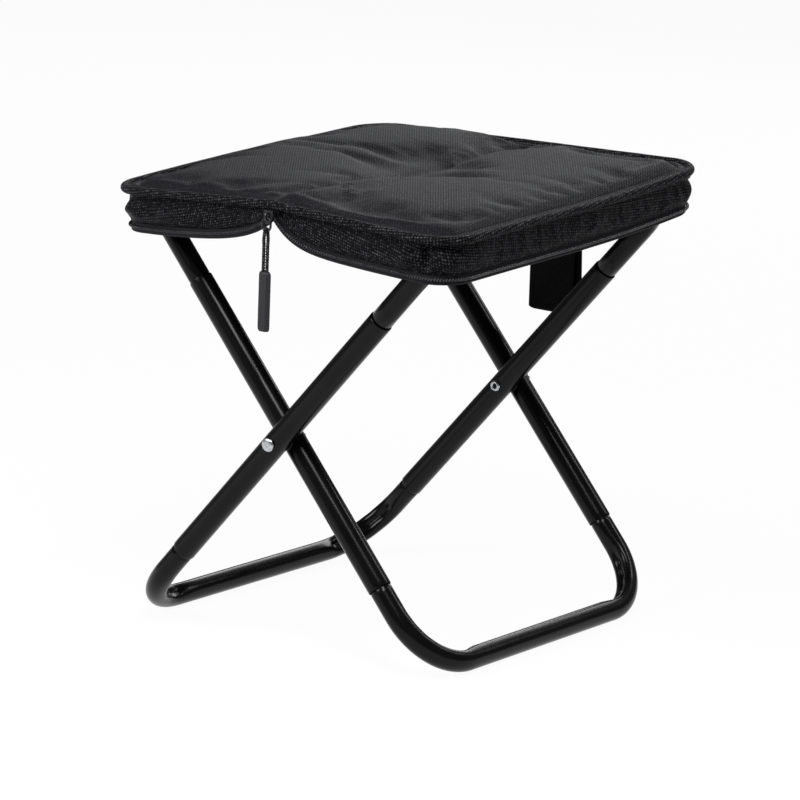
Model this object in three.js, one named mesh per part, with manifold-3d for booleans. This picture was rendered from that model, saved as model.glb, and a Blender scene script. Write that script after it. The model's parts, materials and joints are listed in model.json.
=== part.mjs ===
// Folding stool whose seat is a zip-up carry bag, in millimetres, +Z up.
// +X points to the front foot bar, Y runs along the foot bars, and the floor is z = 0.
// Two U-shaped tube frames cross like scissors and pivot on two rivets. Each frame is a lower U
// and an upper U of thin tube, pushed into a pair of wider middle tubes. The upper bars carry the
// seat, which is the two halves of a soft bag, opened flat and creased along Y in the middle.
import * as THREE from 'three';
import { mergeVertices } from 'three/addons/utils/BufferGeometryUtils.js';
import Module from 'manifold-3d';

const wasm = await Module();
wasm.setup();

// Tubes
const TUBE_OD = 16;
const TUBE_WALL = 1;
const MIDDLE_TUBE_OD = 17.4;
const MIDDLE_TUBE_WALL = 0.5;
const TUBE_SIDES = 16;
const PUSH_IN = 40;
const CUT_OVERRUN = 2;

// Frames
const PIVOT_HEIGHT = 152.5;
const LEG_ANGLE_DEG = 41.2;
const LEG_SPACING = 268;
const BELOW_PIVOT = 124;
const ABOVE_PIVOT = 134;
const FOOT_BEND_RADIUS = 46;
const SEAT_BEND_RADIUS = 28;
const BEND_STEPS = 8;

// Pivots
const WASHER_GAP = 1;
const WASHER_THICKNESS = 0.5;
const WASHER_OD = 14;
const RIVET_SHANK_OD = 5;
const RIVET_CLEARANCE = 0.2;
const RIVET_HEAD_OD = 9;
const RIVET_HEAD_HEIGHT = 2.4;
const RIVET_HEAD_RIM = 0.6;
const RIVET_DOME_STEPS = 3;
const RIVET_ROLL_OD = 8;
const RIVET_ROLL_HEIGHT = 1.6;
const RIVET_BORE_OD = 3.2;
const RIVET_BORE_DEPTH = 7;
const ROUND_SIDES = 20;

// Seat
const SEAT_HALF_X = 154;
const SEAT_HALF_Y = 158;
const SEAT_CORNER_RADIUS = 32;
const BAND_HEIGHT = 4.7;
const BAND_WIDTH = 13.4;
const PAD_RISE = 1.9;
const PAD_RISE_RUN = 7;
const LEFT_CROWN = 5.6;
const RIGHT_CROWN = 4;
const CROWN_FULLNESS = 0.5;
const CREASE_RIDGE = 2.6;
const CREASE_DIP = 2;
const CREASE_WIDTH = 8;
const PANEL_EDGE_ROUND = 2;
const PANEL_RING_SHARES = [0.93, 0.87, 0.8, 0.65, 0.45, 0.25, 0.1];
const CREASE_STATION_SHARES = [0.75, 0.5, 0.25, 0, -0.25, -0.5, -0.75];
const PIPING_OD = 6;
const PIPING_SIDES = 8;
const SEWN_GAP = 0.3;
const CORNER_STEPS = 6;
const SIDE_STATION_SHARES = [0.8, 0.6, 0.4, 0.2];

// How the soft rim settles: its far side stands up and its near corners hang down
const FAR_RISE = 8.5;
const FAR_TILT = 4;
const CORNER_FALL = 2.2;
const SETTLE_CURVE = 1.5;

// Sleeves that hold the upper bars under the seat
const SLEEVE_WALL = 1.2;
const SLEEVE_CLEARANCE = 0.3;
const SLEEVE_END_GAP = 6;

// Side walls of the bag and its zip
const WALL_INSET = 4;
const WALL_THICKNESS = 1.6;
const WALL_LEAN = 0.7;
const BAG_DEPTH = 28;
const CREASE_DEPTH = 8.6;
const LEFT_TAPER = 24;
const RIGHT_TAPER = 15;
const ZIP_BAND = 7.6;
const ZIP_TAPE_THICKNESS = 2.2;
const COIL_OD = 2.2;
const COIL_SIDES = 6;
const COIL_HEIGHT_SHARE = 0.55;
const ZIP_FLARE = 1.6;
const ZIP_FLARE_REACH = 8;
const TAPER_STATION_SHARES = [0, 0.2, 0.45, 0.8, 1.3, 2, 3, 4.5];

// Zip slider with its pull, at the crease on the -Y side
const SLIDER_WIDTH = 8;
const SLIDER_TAIL_WIDTH = 4.6;
const SLIDER_HEIGHT = 9.5;
const SLIDER_THICKNESS = 2.2;
const SLIDER_DROP = 0.5;
const BRIDGE_WIDTH = 1.8;
const BRIDGE_TOP = 1.2;
const BRIDGE_HEIGHT = 5.8;
const BRIDGE_REACH = 3.2;
const BRIDGE_BAR = 1.2;
const LOOP_WIDTH = 7;
const LOOP_HEIGHT = 11;
const LOOP_WIRE = 1.5;
const LOOP_SIDES = 6;
const LOOP_STEPS = 16;
const LOOP_PLAY = 0.25;
const CORD_DIAMETER = 1.9;
const CORD_STRAND_GAP = 0.5;
const CORD_LENGTH = 28;
const CORD_SIDES = 6;
const CORD_TURN_STEPS = 6;
const TAB_WIDTH = 10;
const TAB_THICKNESS = 5;
const TAB_HEIGHT = 42;
const TAB_CHAMFER = 1.4;
const TAB_SHOULDER = 3;
const TAB_TOP_SHARE = 0.55;

// Carry handle on the +Y side of the right half
const HANDLE_WIDTH = 44;
const HANDLE_FROM_CREASE = 0.5;
const HANDLE_DROP = 3;
const HANDLE_LENGTH = 114;
const HANDLE_SLIT = 1.2;
const HANDLE_TURN_STEPS = 4;
const WEBBING_THICKNESS = 1.6;
const ANCHOR_HEIGHT = 17;

// Worked out from the sizes above
const legAngle = THREE.MathUtils.degToRad(LEG_ANGLE_DEG);
const tubeRadius = TUBE_OD / 2;
const middleRadius = MIDDLE_TUBE_OD / 2;
const tubeFlat = tubeRadius * Math.cos(Math.PI / TUBE_SIDES);
const frameOffset = (MIDDLE_TUBE_OD + WASHER_GAP) / 2;
const footDrop = (PIVOT_HEIGHT - tubeFlat) / Math.cos(legAngle);
const sleeveRadius = tubeRadius + SLEEVE_CLEARANCE + SLEEVE_WALL;
const barReach = SEAT_HALF_X - WALL_INSET - WALL_THICKNESS - WALL_LEAN - SEWN_GAP - sleeveRadius;
const barRise = barReach / Math.sin(legAngle);
const barHeight = PIVOT_HEIGHT + barRise * Math.cos(legAngle);
const panelUnderside = barHeight + sleeveRadius + SEWN_GAP;
const rimTop = panelUnderside + PIPING_OD;
const pipingRadius = PIPING_OD / 2;

const finish = {
  coatedSteel: () => new THREE.MeshStandardMaterial({ color: '#0c0c0d', roughness: 0.25, metalness: 0.3 }),
  zincSteel: () => new THREE.MeshStandardMaterial({ color: '#b9babb', roughness: 0.3, metalness: 0.9 }),
  nylon: () => new THREE.MeshStandardMaterial({ color: '#1a1a1a', roughness: 0.6, metalness: 0 }),
  oxfordCloth: () => new THREE.MeshStandardMaterial({ color: '#1b1b1d', roughness: 0.9, metalness: 0 }),
  webbing: () => new THREE.MeshStandardMaterial({ color: '#161617', roughness: 0.85, metalness: 0 }),
  zipTape: () => new THREE.MeshStandardMaterial({ color: '#141415', roughness: 0.9, metalness: 0 }),
  zipCoil: () => new THREE.MeshStandardMaterial({ color: '#202022', roughness: 0.45, metalness: 0 }),
  blackMetal: () => new THREE.MeshStandardMaterial({ color: '#2b2b2d', roughness: 0.3, metalness: 0.8 }),
  mouldedRubber: () => new THREE.MeshStandardMaterial({ color: '#3a3a3c', roughness: 0.6, metalness: 0 }),
};

function named(name, geometry, material) {
  const mesh = new THREE.Mesh(geometry, material());
  mesh.name = name;
  return mesh;
}

// A path that is sampled only at the stations it is given, so straight runs stay one step long.
class StationPath extends THREE.Curve {
  constructor(stations) {
    super();
    this.stations = stations;
    this.steps = stations.length - 1;
  }

  station(share) {
    return this.stations[Math.round(share * this.steps)];
  }

  getPoint(share) {
    return this.station(share).point.clone();
  }

  getPointAt(share) {
    return this.getPoint(share);
  }

  getTangentAt(share) {
    return this.station(share).tangent.clone();
  }
}

// Regular ring outline. The middle of one flat side faces the given angle.
function ringPoints(radius, sides, flatAngle = 0) {
  const points = [];
  for (let i = 0; i < sides; i += 1) {
    const angle = flatAngle + ((i + 1 / 2) * 2 * Math.PI) / sides;
    points.push(new THREE.Vector2(radius * Math.cos(angle), radius * Math.sin(angle)));
  }
  return points;
}

// Ring section of a tube. With a wall as thick as the radius it is solid.
function tubeSection(outerRadius, wall, sides, flatAngle) {
  const section = new THREE.Shape(ringPoints(outerRadius, sides, flatAngle));
  if (wall < outerRadius) {
    section.holes.push(new THREE.Path(ringPoints(outerRadius - wall, sides, flatAngle)));
  }
  return section;
}

function sweep(section, path) {
  return new THREE.ExtrudeGeometry(section, { steps: path.steps, extrudePath: path, curveSegments: 1 });
}

function toSolid(geometry) {
  const bare = geometry.index ? geometry.toNonIndexed() : geometry.clone();
  bare.deleteAttribute('normal');
  bare.deleteAttribute('uv');
  const merged = mergeVertices(bare);
  return new wasm.Manifold(new wasm.Mesh({
    numProp: 3,
    vertProperties: new Float32Array(merged.attributes.position.array),
    triVerts: new Uint32Array(merged.index.array),
  }));
}

function toGeometry(solid) {
  const mesh = solid.getMesh();
  const geometry = new THREE.BufferGeometry();
  geometry.setAttribute('position', new THREE.Float32BufferAttribute(mesh.vertProperties, mesh.numProp));
  geometry.setIndex(new THREE.Uint32BufferAttribute(mesh.triVerts, 1));
  geometry.computeVertexNormals();
  return geometry;
}

// Skin over a row of rings with the same number of points, closed by a fan at both ends.
function loft(rings) {
  const count = rings[0].length;
  const positions = rings.flat().flatMap((p) => [p.x, p.y, p.z]);
  const faces = [];
  for (let r = 0; r + 1 < rings.length; r += 1) {
    for (let i = 0; i < count; i += 1) {
      const next = (i + 1) % count;
      const a = r * count + i;
      const b = r * count + next;
      faces.push(a, b, b + count, a, b + count, a + count);
    }
  }
  const last = (rings.length - 1) * count;
  for (let i = 1; i + 1 < count; i += 1) {
    faces.push(0, i + 1, i, last, last + i, last + i + 1);
  }
  const geometry = new THREE.BufferGeometry();
  geometry.setAttribute('position', new THREE.Float32BufferAttribute(positions, 3));
  geometry.setIndex(faces);
  geometry.computeVertexNormals();
  return geometry;
}

// U of tube in the plane x = 0: two legs at y = -half and y = half, and a bar at the given height.
// The legs start at legHeight and turn into the bar with the given bend radius.
function uStations(half, legHeight, barAt, bendRadius) {
  const turn = Math.sign(barAt - legHeight);
  const legEnd = (y, heading) => ({
    point: new THREE.Vector3(0, y, legHeight),
    tangent: new THREE.Vector3(0, 0, heading),
  });
  const stations = [legEnd(-half, turn)];
  const bend = (centreY, from, to) => {
    for (let i = 0; i <= BEND_STEPS; i += 1) {
      const angle = from + ((to - from) * i) / BEND_STEPS;
      stations.push({
        point: new THREE.Vector3(
          0,
          centreY - bendRadius * Math.cos(angle),
          barAt + turn * bendRadius * (Math.sin(angle) - 1),
        ),
        tangent: new THREE.Vector3(0, Math.sin(angle), turn * Math.cos(angle)),
      });
    }
  };
  bend(-half + bendRadius, 0, Math.PI / 2);
  bend(half - bendRadius, Math.PI / 2, Math.PI);
  stations.push(legEnd(half, -turn));
  return new StationPath(stations);
}

// lean is -1 for the frame whose top leans to -X, and 1 for the one whose top leans to +X.
function frame(name, lean) {
  const group = new THREE.Group();
  group.position.set(0, 0, PIVOT_HEIGHT);
  group.rotation.y = lean * legAngle;
  const centreY = -lean * frameOffset;
  const half = LEG_SPACING / 2;
  const downAngle = -Math.PI / 2 - lean * legAngle;

  const foot = named(
    `${name}_foot_tube`,
    sweep(
      tubeSection(tubeRadius, TUBE_WALL, TUBE_SIDES, downAngle),
      uStations(half, PUSH_IN - BELOW_PIVOT, -footDrop, FOOT_BEND_RADIUS),
    ),
    finish.coatedSteel,
  );
  foot.position.y = centreY;
  group.add(foot);

  const upper = named(
    `${name}_seat_tube`,
    sweep(
      tubeSection(tubeRadius, TUBE_WALL, TUBE_SIDES, downAngle),
      uStations(half, ABOVE_PIVOT - PUSH_IN, barRise, SEAT_BEND_RADIUS),
    ),
    finish.coatedSteel,
  );
  upper.position.y = centreY;
  group.add(upper);

  for (const side of [-1, 1]) {
    const label = side < 0 ? 'near' : 'far';
    const tube = named(`${name}_middle_tube_${label}`, middleTube(), finish.coatedSteel);
    tube.position.y = centreY + side * half;
    group.add(tube);
  }
  return group;
}

// Wide tube along Z through the origin, drilled along Y for the rivet.
function middleTube() {
  const tube = new THREE.ExtrudeGeometry(
    tubeSection(middleRadius, MIDDLE_TUBE_WALL, TUBE_SIDES, Math.PI / 2),
    { depth: BELOW_PIVOT + ABOVE_PIVOT, bevelEnabled: false, steps: 1 },
  );
  tube.translate(0, 0, -BELOW_PIVOT);
  const drill = new THREE.CylinderGeometry(
    RIVET_SHANK_OD / 2 + RIVET_CLEARANCE,
    RIVET_SHANK_OD / 2 + RIVET_CLEARANCE,
    MIDDLE_TUBE_OD + CUT_OVERRUN,
    ROUND_SIDES,
  );
  return toGeometry(toSolid(tube).subtract(toSolid(drill)));
}

// Rivet along Y through both tubes: a domed head outside, a rolled hollow end inside.
function rivet() {
  const outerFace = frameOffset + middleRadius + SEWN_GAP;
  const shank = RIVET_SHANK_OD / 2;
  const head = RIVET_HEAD_OD / 2;
  const roll = RIVET_ROLL_OD / 2;
  const bore = RIVET_BORE_OD / 2;
  const headTop = outerFace + RIVET_HEAD_HEIGHT;
  const rollTop = outerFace + RIVET_ROLL_HEIGHT;
  const dome = (share) => new THREE.Vector2(
    head * Math.cos((share * Math.PI) / 2),
    outerFace + RIVET_HEAD_RIM + (RIVET_HEAD_HEIGHT - RIVET_HEAD_RIM) * Math.sin((share * Math.PI) / 2),
  );
  const profile = [
    new THREE.Vector2(0, -(rollTop - RIVET_BORE_DEPTH)),
    new THREE.Vector2(bore, -(rollTop - RIVET_BORE_DEPTH)),
    new THREE.Vector2(bore, -(rollTop - RIVET_ROLL_HEIGHT / 2)),
    new THREE.Vector2((bore + roll) / 2, -rollTop),
    new THREE.Vector2(roll, -(rollTop - RIVET_ROLL_HEIGHT / 2)),
    new THREE.Vector2(roll, -outerFace),
    new THREE.Vector2(shank, -outerFace),
    new THREE.Vector2(shank, outerFace),
    new THREE.Vector2(head, outerFace),
    ...Array.from({ length: RIVET_DOME_STEPS }, (_, i) => dome(i / RIVET_DOME_STEPS)),
    new THREE.Vector2(0, headTop),
  ];
  return new THREE.LatheGeometry(profile, ROUND_SIDES);
}

function washer() {
  const inner = RIVET_SHANK_OD / 2 + RIVET_CLEARANCE;
  const outer = WASHER_OD / 2;
  const half = WASHER_THICKNESS / 2;
  return new THREE.LatheGeometry([
    new THREE.Vector2(inner, -half),
    new THREE.Vector2(outer, -half),
    new THREE.Vector2(outer, half),
    new THREE.Vector2(inner, half),
    new THREE.Vector2(inner, -half),
  ], ROUND_SIDES);
}

// side is -1 for the leg pair at -Y and 1 for the pair at +Y. The rivet's head faces outwards.
function pivot(side) {
  const group = new THREE.Group();
  const label = side < 0 ? 'near' : 'far';
  group.position.set(0, (side * LEG_SPACING) / 2, PIVOT_HEIGHT);
  const pin = named(`pivot_rivet_${label}`, rivet(), finish.zincSteel);
  pin.rotation.x = side < 0 ? Math.PI : 0;
  group.add(pin);
  group.add(named(`pivot_washer_${label}`, washer(), finish.nylon));
  return group;
}

// Stations along half of the rim, from the crease round the two corners and back to the crease.
// Each has its place on the rim, its outward direction and its distance from the crease.
function rimStations(half, inset, taperShares, taper) {
  const reachX = SEAT_HALF_X - inset;
  const reachY = SEAT_HALF_Y - inset;
  const corner = SEAT_CORNER_RADIUS - inset;
  const quarter = [];
  for (const share of taperShares) {
    const x = SEWN_GAP / 2 + share * taper;
    quarter.push({ x, y: reachY, nx: 0, ny: 1 });
  }
  for (let i = 0; i <= CORNER_STEPS; i += 1) {
    const angle = (Math.PI / 2) * (1 - i / CORNER_STEPS);
    quarter.push({
      x: reachX - corner + corner * Math.cos(angle),
      y: reachY - corner + corner * Math.sin(angle),
      nx: Math.cos(angle),
      ny: Math.sin(angle),
    });
  }
  for (const share of SIDE_STATION_SHARES) {
    quarter.push({ x: reachX, y: (reachY - corner) * share, nx: 1, ny: 0 });
  }
  const whole = [
    ...quarter.map((s) => ({ ...s, y: -s.y, ny: -s.ny })),
    { x: reachX, y: 0, nx: 1, ny: 0 },
    ...quarter.slice().reverse(),
  ];
  const placed = whole.map((s) => ({ ...s, x: half * s.x, nx: half * s.nx, fromCrease: s.x }));
  return half < 0 ? placed.reverse() : placed;
}

// Height of the soft rim above a level one.
function settle(x, y) {
  const acrossShare = x / SEAT_HALF_X;
  const alongShare = Math.abs(y / SEAT_HALF_Y) ** SETTLE_CURVE;
  return alongShare * (y > 0 ? FAR_RISE + FAR_TILT * acrossShare : -CORNER_FALL * Math.abs(acrossShare));
}

function bandDepth(half, fromCrease) {
  const taper = half < 0 ? LEFT_TAPER : RIGHT_TAPER;
  return CREASE_DEPTH + (BAG_DEPTH - CREASE_DEPTH) * (1 - Math.exp(-fromCrease / taper));
}

// The zip stands a little proud of the wall where its two tapes meet at the crease.
function zipFlare(fromCrease) {
  return ZIP_FLARE * Math.exp(-fromCrease / ZIP_FLARE_REACH);
}

// Band that follows the rim. section gives its corners as [outward offset, height] at a station.
function rimBand(half, inset, taperShares, section) {
  const taper = half < 0 ? LEFT_TAPER : RIGHT_TAPER;
  const rings = rimStations(half, inset, taperShares, taper).map((s) => section(s).map(
    ([out, z]) => new THREE.Vector3(s.x + s.nx * out, s.y + s.ny * out, z + settle(s.x, s.y)),
  ));
  return loft(rings);
}

function piping(half) {
  const outline = ringPoints(pipingRadius, PIPING_SIDES, Math.PI / 2);
  return rimBand(half, pipingRadius, [0], () => outline.map((p) => [p.x, rimTop - pipingRadius - p.y]));
}

function gusset(half) {
  return rimBand(half, WALL_INSET, TAPER_STATION_SHARES, (s) => {
    const top = panelUnderside - SEWN_GAP;
    const bottom = panelUnderside - bandDepth(half, s.fromCrease) + ZIP_BAND;
    const foot = zipFlare(s.fromCrease) - WALL_LEAN;
    return [[0, top], [foot, bottom], [foot - WALL_THICKNESS, bottom], [-WALL_THICKNESS, top]];
  });
}

function zipTape(half) {
  return rimBand(half, WALL_INSET + WALL_LEAN, TAPER_STATION_SHARES, (s) => {
    const bottom = panelUnderside - bandDepth(half, s.fromCrease);
    const top = bottom + ZIP_BAND - SEWN_GAP;
    const inner = zipFlare(s.fromCrease) - WALL_THICKNESS;
    const outer = inner + ZIP_TAPE_THICKNESS;
    return [[outer, top], [outer, bottom], [inner, bottom], [inner, top]];
  });
}

function zipCoil(half) {
  const outline = ringPoints(COIL_OD / 2, COIL_SIDES, Math.PI / 2);
  const out = ZIP_TAPE_THICKNESS - WALL_THICKNESS + SEWN_GAP + COIL_OD / 2;
  return rimBand(half, WALL_INSET + WALL_LEAN, TAPER_STATION_SHARES, (s) => {
    const middle = panelUnderside - bandDepth(half, s.fromCrease) + COIL_HEIGHT_SHARE * ZIP_BAND;
    return outline.map((p) => [out + zipFlare(s.fromCrease) + p.x, middle - p.y]);
  });
}

function smoothShare(value) {
  return THREE.MathUtils.smoothstep(value, 0, 1);
}

// How far a place lies inside the seat's outline.
function rimDistance(x, y) {
  const overX = Math.abs(x) - (SEAT_HALF_X - SEAT_CORNER_RADIUS);
  const overY = Math.abs(y) - (SEAT_HALF_Y - SEAT_CORNER_RADIUS);
  const inCorner = overX > 0 && overY > 0;
  return SEAT_CORNER_RADIUS - (inCorner ? Math.hypot(overX, overY) : Math.max(overX, overY));
}

// Height of the top: a flat sewn band round a raised pad, which is crowned in each half. Along the
// crease the cloth makes a ridge at the near end and a dip at the far end.
function seatTop(x, y) {
  const padShare = smoothShare((rimDistance(x, y) - BAND_WIDTH) / PAD_RISE_RUN);
  const across = Math.max(0, Math.sin((Math.PI * Math.abs(x)) / SEAT_HALF_X)) ** CROWN_FULLNESS;
  const along = Math.max(0, Math.cos((Math.PI / 2) * (y / SEAT_HALF_Y))) ** CROWN_FULLNESS;
  const crown = (x < 0 ? LEFT_CROWN : RIGHT_CROWN) * across * along;
  const farShare = (y / SEAT_HALF_Y + 1) / 2;
  const crease = CREASE_RIDGE * (1 - farShare) - CREASE_DIP * farShare;
  const raised = PAD_RISE + crown + crease * Math.exp(-((x / CREASE_WIDTH) ** 2));
  return panelUnderside + BAND_HEIGHT + padShare * raised + settle(x, y);
}

// Padded half of the seat inside the piping, built from shrinking copies of its outline. Its
// underside is level, because it lies on the bars.
function seatPanel(half) {
  const inset = PIPING_OD + SEWN_GAP;
  const creaseLine = CREASE_STATION_SHARES.map((share) => ({
    x: (half * SEWN_GAP) / 2,
    y: half * share * (SEAT_HALF_Y - inset),
  }));
  const outline = [...rimStations(half, inset, TAPER_STATION_SHARES, LEFT_TAPER), ...creaseLine];
  const centre = new THREE.Vector2((half * (SEAT_HALF_X - inset)) / 2, 0);
  const at = (s, share) => new THREE.Vector2(s.x, s.y).lerp(centre, 1 - share);
  const ring = (share, height) => outline.map((s) => {
    const p = at(s, share);
    return new THREE.Vector3(p.x, p.y, height(p.x, p.y));
  });
  const edgeShare = 1 - PANEL_EDGE_ROUND / centre.length();
  const edgeHeight = panelUnderside + BAND_HEIGHT - PANEL_EDGE_ROUND;
  return loft([
    ring(1, () => panelUnderside),
    ring(1, (x, y) => edgeHeight + settle(x, y)),
    ...[edgeShare, ...PANEL_RING_SHARES].map((share) => ring(share, seatTop)),
  ]);
}

// Cloth tube round an upper bar, under the seat.
function barSleeve(half) {
  const straight = LEG_SPACING - 2 * SEAT_BEND_RADIUS - 2 * SLEEVE_END_GAP;
  const sleeve = new THREE.ExtrudeGeometry(
    tubeSection(sleeveRadius, SLEEVE_WALL, TUBE_SIDES, Math.PI / 2),
    { depth: straight, bevelEnabled: false, steps: 1 },
  );
  sleeve.translate(0, 0, -straight / 2);
  sleeve.rotateX(Math.PI / 2);
  const mesh = named(half < 0 ? 'bar_sleeve_left' : 'bar_sleeve_right', sleeve, finish.oxfordCloth);
  mesh.position.set(half * barReach, -half * frameOffset, barHeight);
  return mesh;
}

function seatHalf(half) {
  const group = new THREE.Group();
  const label = half < 0 ? 'left' : 'right';
  group.add(named(`seat_panel_${label}`, seatPanel(half), finish.oxfordCloth));
  group.add(named(`piping_${label}`, piping(half), finish.oxfordCloth));
  group.add(named(`gusset_${label}`, gusset(half), finish.oxfordCloth));
  group.add(named(`zip_tape_${label}`, zipTape(half), finish.zipTape));
  group.add(named(`zip_coil_${label}`, zipCoil(half), finish.zipCoil));
  group.add(barSleeve(half));
  return group;
}

// Turns a profile drawn as (outward, height) and extruded by width into the plane of the -Y wall.
function turnToWall(geometry, width) {
  const turn = new THREE.Matrix4().makeBasis(
    new THREE.Vector3(0, -1, 0),
    new THREE.Vector3(0, 0, 1),
    new THREE.Vector3(-1, 0, 0),
  );
  geometry.applyMatrix4(turn);
  geometry.translate(width / 2, 0, 0);
  return geometry;
}

// Slider: a shield-shaped plate with a bridge on its outer face. Its top is at z = 0.
function slider() {
  const wide = SLIDER_WIDTH / 2;
  const tail = SLIDER_TAIL_WIDTH / 2;
  const outline = new THREE.Shape([
    new THREE.Vector2(-wide, 0),
    new THREE.Vector2(-wide, -SLIDER_HEIGHT / 2),
    new THREE.Vector2(-tail, -SLIDER_HEIGHT),
    new THREE.Vector2(tail, -SLIDER_HEIGHT),
    new THREE.Vector2(wide, -SLIDER_HEIGHT / 2),
    new THREE.Vector2(wide, 0),
  ]);
  const plate = new THREE.ExtrudeGeometry(outline, { depth: SLIDER_THICKNESS, bevelEnabled: false });
  plate.rotateX(Math.PI / 2);
  const root = SLIDER_THICKNESS / 2;
  const face = SLIDER_THICKNESS;
  const bottom = -BRIDGE_TOP - BRIDGE_HEIGHT;
  const arch = new THREE.Shape([
    new THREE.Vector2(root, -BRIDGE_TOP),
    new THREE.Vector2(root, -BRIDGE_TOP - BRIDGE_BAR),
    new THREE.Vector2(face + BRIDGE_REACH - BRIDGE_BAR, -BRIDGE_TOP - BRIDGE_BAR),
    new THREE.Vector2(face + BRIDGE_REACH - BRIDGE_BAR, bottom + BRIDGE_BAR),
    new THREE.Vector2(root, bottom + BRIDGE_BAR),
    new THREE.Vector2(root, bottom),
    new THREE.Vector2(face + BRIDGE_REACH, bottom),
    new THREE.Vector2(face + BRIDGE_REACH, -BRIDGE_TOP),
  ]);
  const bridge = new THREE.ExtrudeGeometry(arch, { depth: BRIDGE_WIDTH, bevelEnabled: false });
  return toGeometry(toSolid(plate).add(toSolid(turnToWall(bridge, BRIDGE_WIDTH))));
}

// Wire loop in the plane of the wall, with two straight sides. Its centre is the origin.
function pullLoop() {
  const wire = LOOP_WIRE / 2;
  const stretch = (LOOP_HEIGHT - LOOP_WIDTH) / 2;
  const loop = new THREE.TorusGeometry(LOOP_WIDTH / 2 - wire, wire, LOOP_SIDES, LOOP_STEPS);
  const place = loop.attributes.position;
  for (let i = 0; i < place.count; i += 1) {
    const y = place.getY(i);
    const side = Math.abs(y) < wire / LOOP_STEPS ? 0 : Math.sign(y);
    place.setY(i, y + side * stretch);
  }
  loop.rotateX(Math.PI / 2);
  return loop;
}

// Doubled cord that turns over the wire at the origin and hangs down to the tab.
function pullCord() {
  const turn = LOOP_WIRE / 2 + CORD_DIAMETER / 2 + LOOP_PLAY;
  const foot = (CORD_DIAMETER + CORD_STRAND_GAP) / 2;
  const drop = new THREE.Vector3(0, turn - foot, CORD_LENGTH).normalize();
  const stations = [{ point: new THREE.Vector3(0, foot, -CORD_LENGTH), tangent: drop.clone() }];
  for (let i = 0; i <= CORD_TURN_STEPS; i += 1) {
    const angle = (Math.PI * i) / CORD_TURN_STEPS;
    stations.push({
      point: new THREE.Vector3(0, turn * Math.cos(angle), turn * Math.sin(angle)),
      tangent: new THREE.Vector3(0, -Math.sin(angle), Math.cos(angle)),
    });
  }
  stations.push({
    point: new THREE.Vector3(0, -foot, -CORD_LENGTH),
    tangent: new THREE.Vector3(0, drop.y, -drop.z),
  });
  return sweep(tubeSection(CORD_DIAMETER / 2, CORD_DIAMETER, CORD_SIDES, 0), new StationPath(stations));
}

// Moulded tab with chamfered edges that narrows to its shoulder. Its top is at z = 0.
function pullTab() {
  const ring = (height, share) => {
    const x = (TAB_WIDTH / 2) * share;
    const y = (TAB_THICKNESS / 2) * share;
    const cut = TAB_CHAMFER * share;
    return [
      new THREE.Vector3(-x + cut, -y, height),
      new THREE.Vector3(x - cut, -y, height),
      new THREE.Vector3(x, -y + cut, height),
      new THREE.Vector3(x, y - cut, height),
      new THREE.Vector3(x - cut, y, height),
      new THREE.Vector3(-x + cut, y, height),
      new THREE.Vector3(-x, y - cut, height),
      new THREE.Vector3(-x, -y + cut, height),
    ];
  };
  return loft([
    ring(0, TAB_TOP_SHARE),
    ring(-TAB_SHOULDER, 1),
    ring(-TAB_HEIGHT + TAB_CHAMFER, 1),
    ring(-TAB_HEIGHT, TAB_TOP_SHARE),
  ].reverse());
}

function zipPull() {
  const pull = new THREE.Group();
  pull.position.set(0, -SEAT_HALF_Y - SEWN_GAP, panelUnderside - SLIDER_DROP);
  pull.add(named('zip_slider', slider(), finish.blackMetal));
  const hanging = new THREE.Group();
  const openingMiddle = SLIDER_THICKNESS + (BRIDGE_REACH - BRIDGE_BAR) / 2;
  const wireSeat = -BRIDGE_TOP - BRIDGE_HEIGHT + BRIDGE_BAR + LOOP_WIRE / 2 + LOOP_PLAY;
  hanging.position.set(0, -openingMiddle, wireSeat);
  const wireReach = (LOOP_HEIGHT - LOOP_WIRE) / 2;
  const loop = named('pull_loop', pullLoop(), finish.blackMetal);
  loop.position.z = -wireReach;
  hanging.add(loop);
  const cord = named('pull_cord', pullCord(), finish.webbing);
  cord.position.z = -2 * wireReach;
  hanging.add(cord);
  const tab = named('pull_tab', pullTab(), finish.mouldedRubber);
  tab.position.z = -2 * wireReach - CORD_LENGTH - SEWN_GAP;
  hanging.add(tab);
  pull.add(hanging);
  return pull;
}

// Racetrack outline, upright, with the middle of its upper turn at the origin.
function racetrack(radius, length) {
  const points = [];
  for (const [centre, from] of [[0, 0], [-length, Math.PI]]) {
    for (let i = 0; i <= HANDLE_TURN_STEPS; i += 1) {
      const angle = from + (Math.PI * i) / HANDLE_TURN_STEPS;
      points.push(new THREE.Vector2(radius * Math.cos(angle), centre + radius * Math.sin(angle)));
    }
  }
  return points;
}

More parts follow.
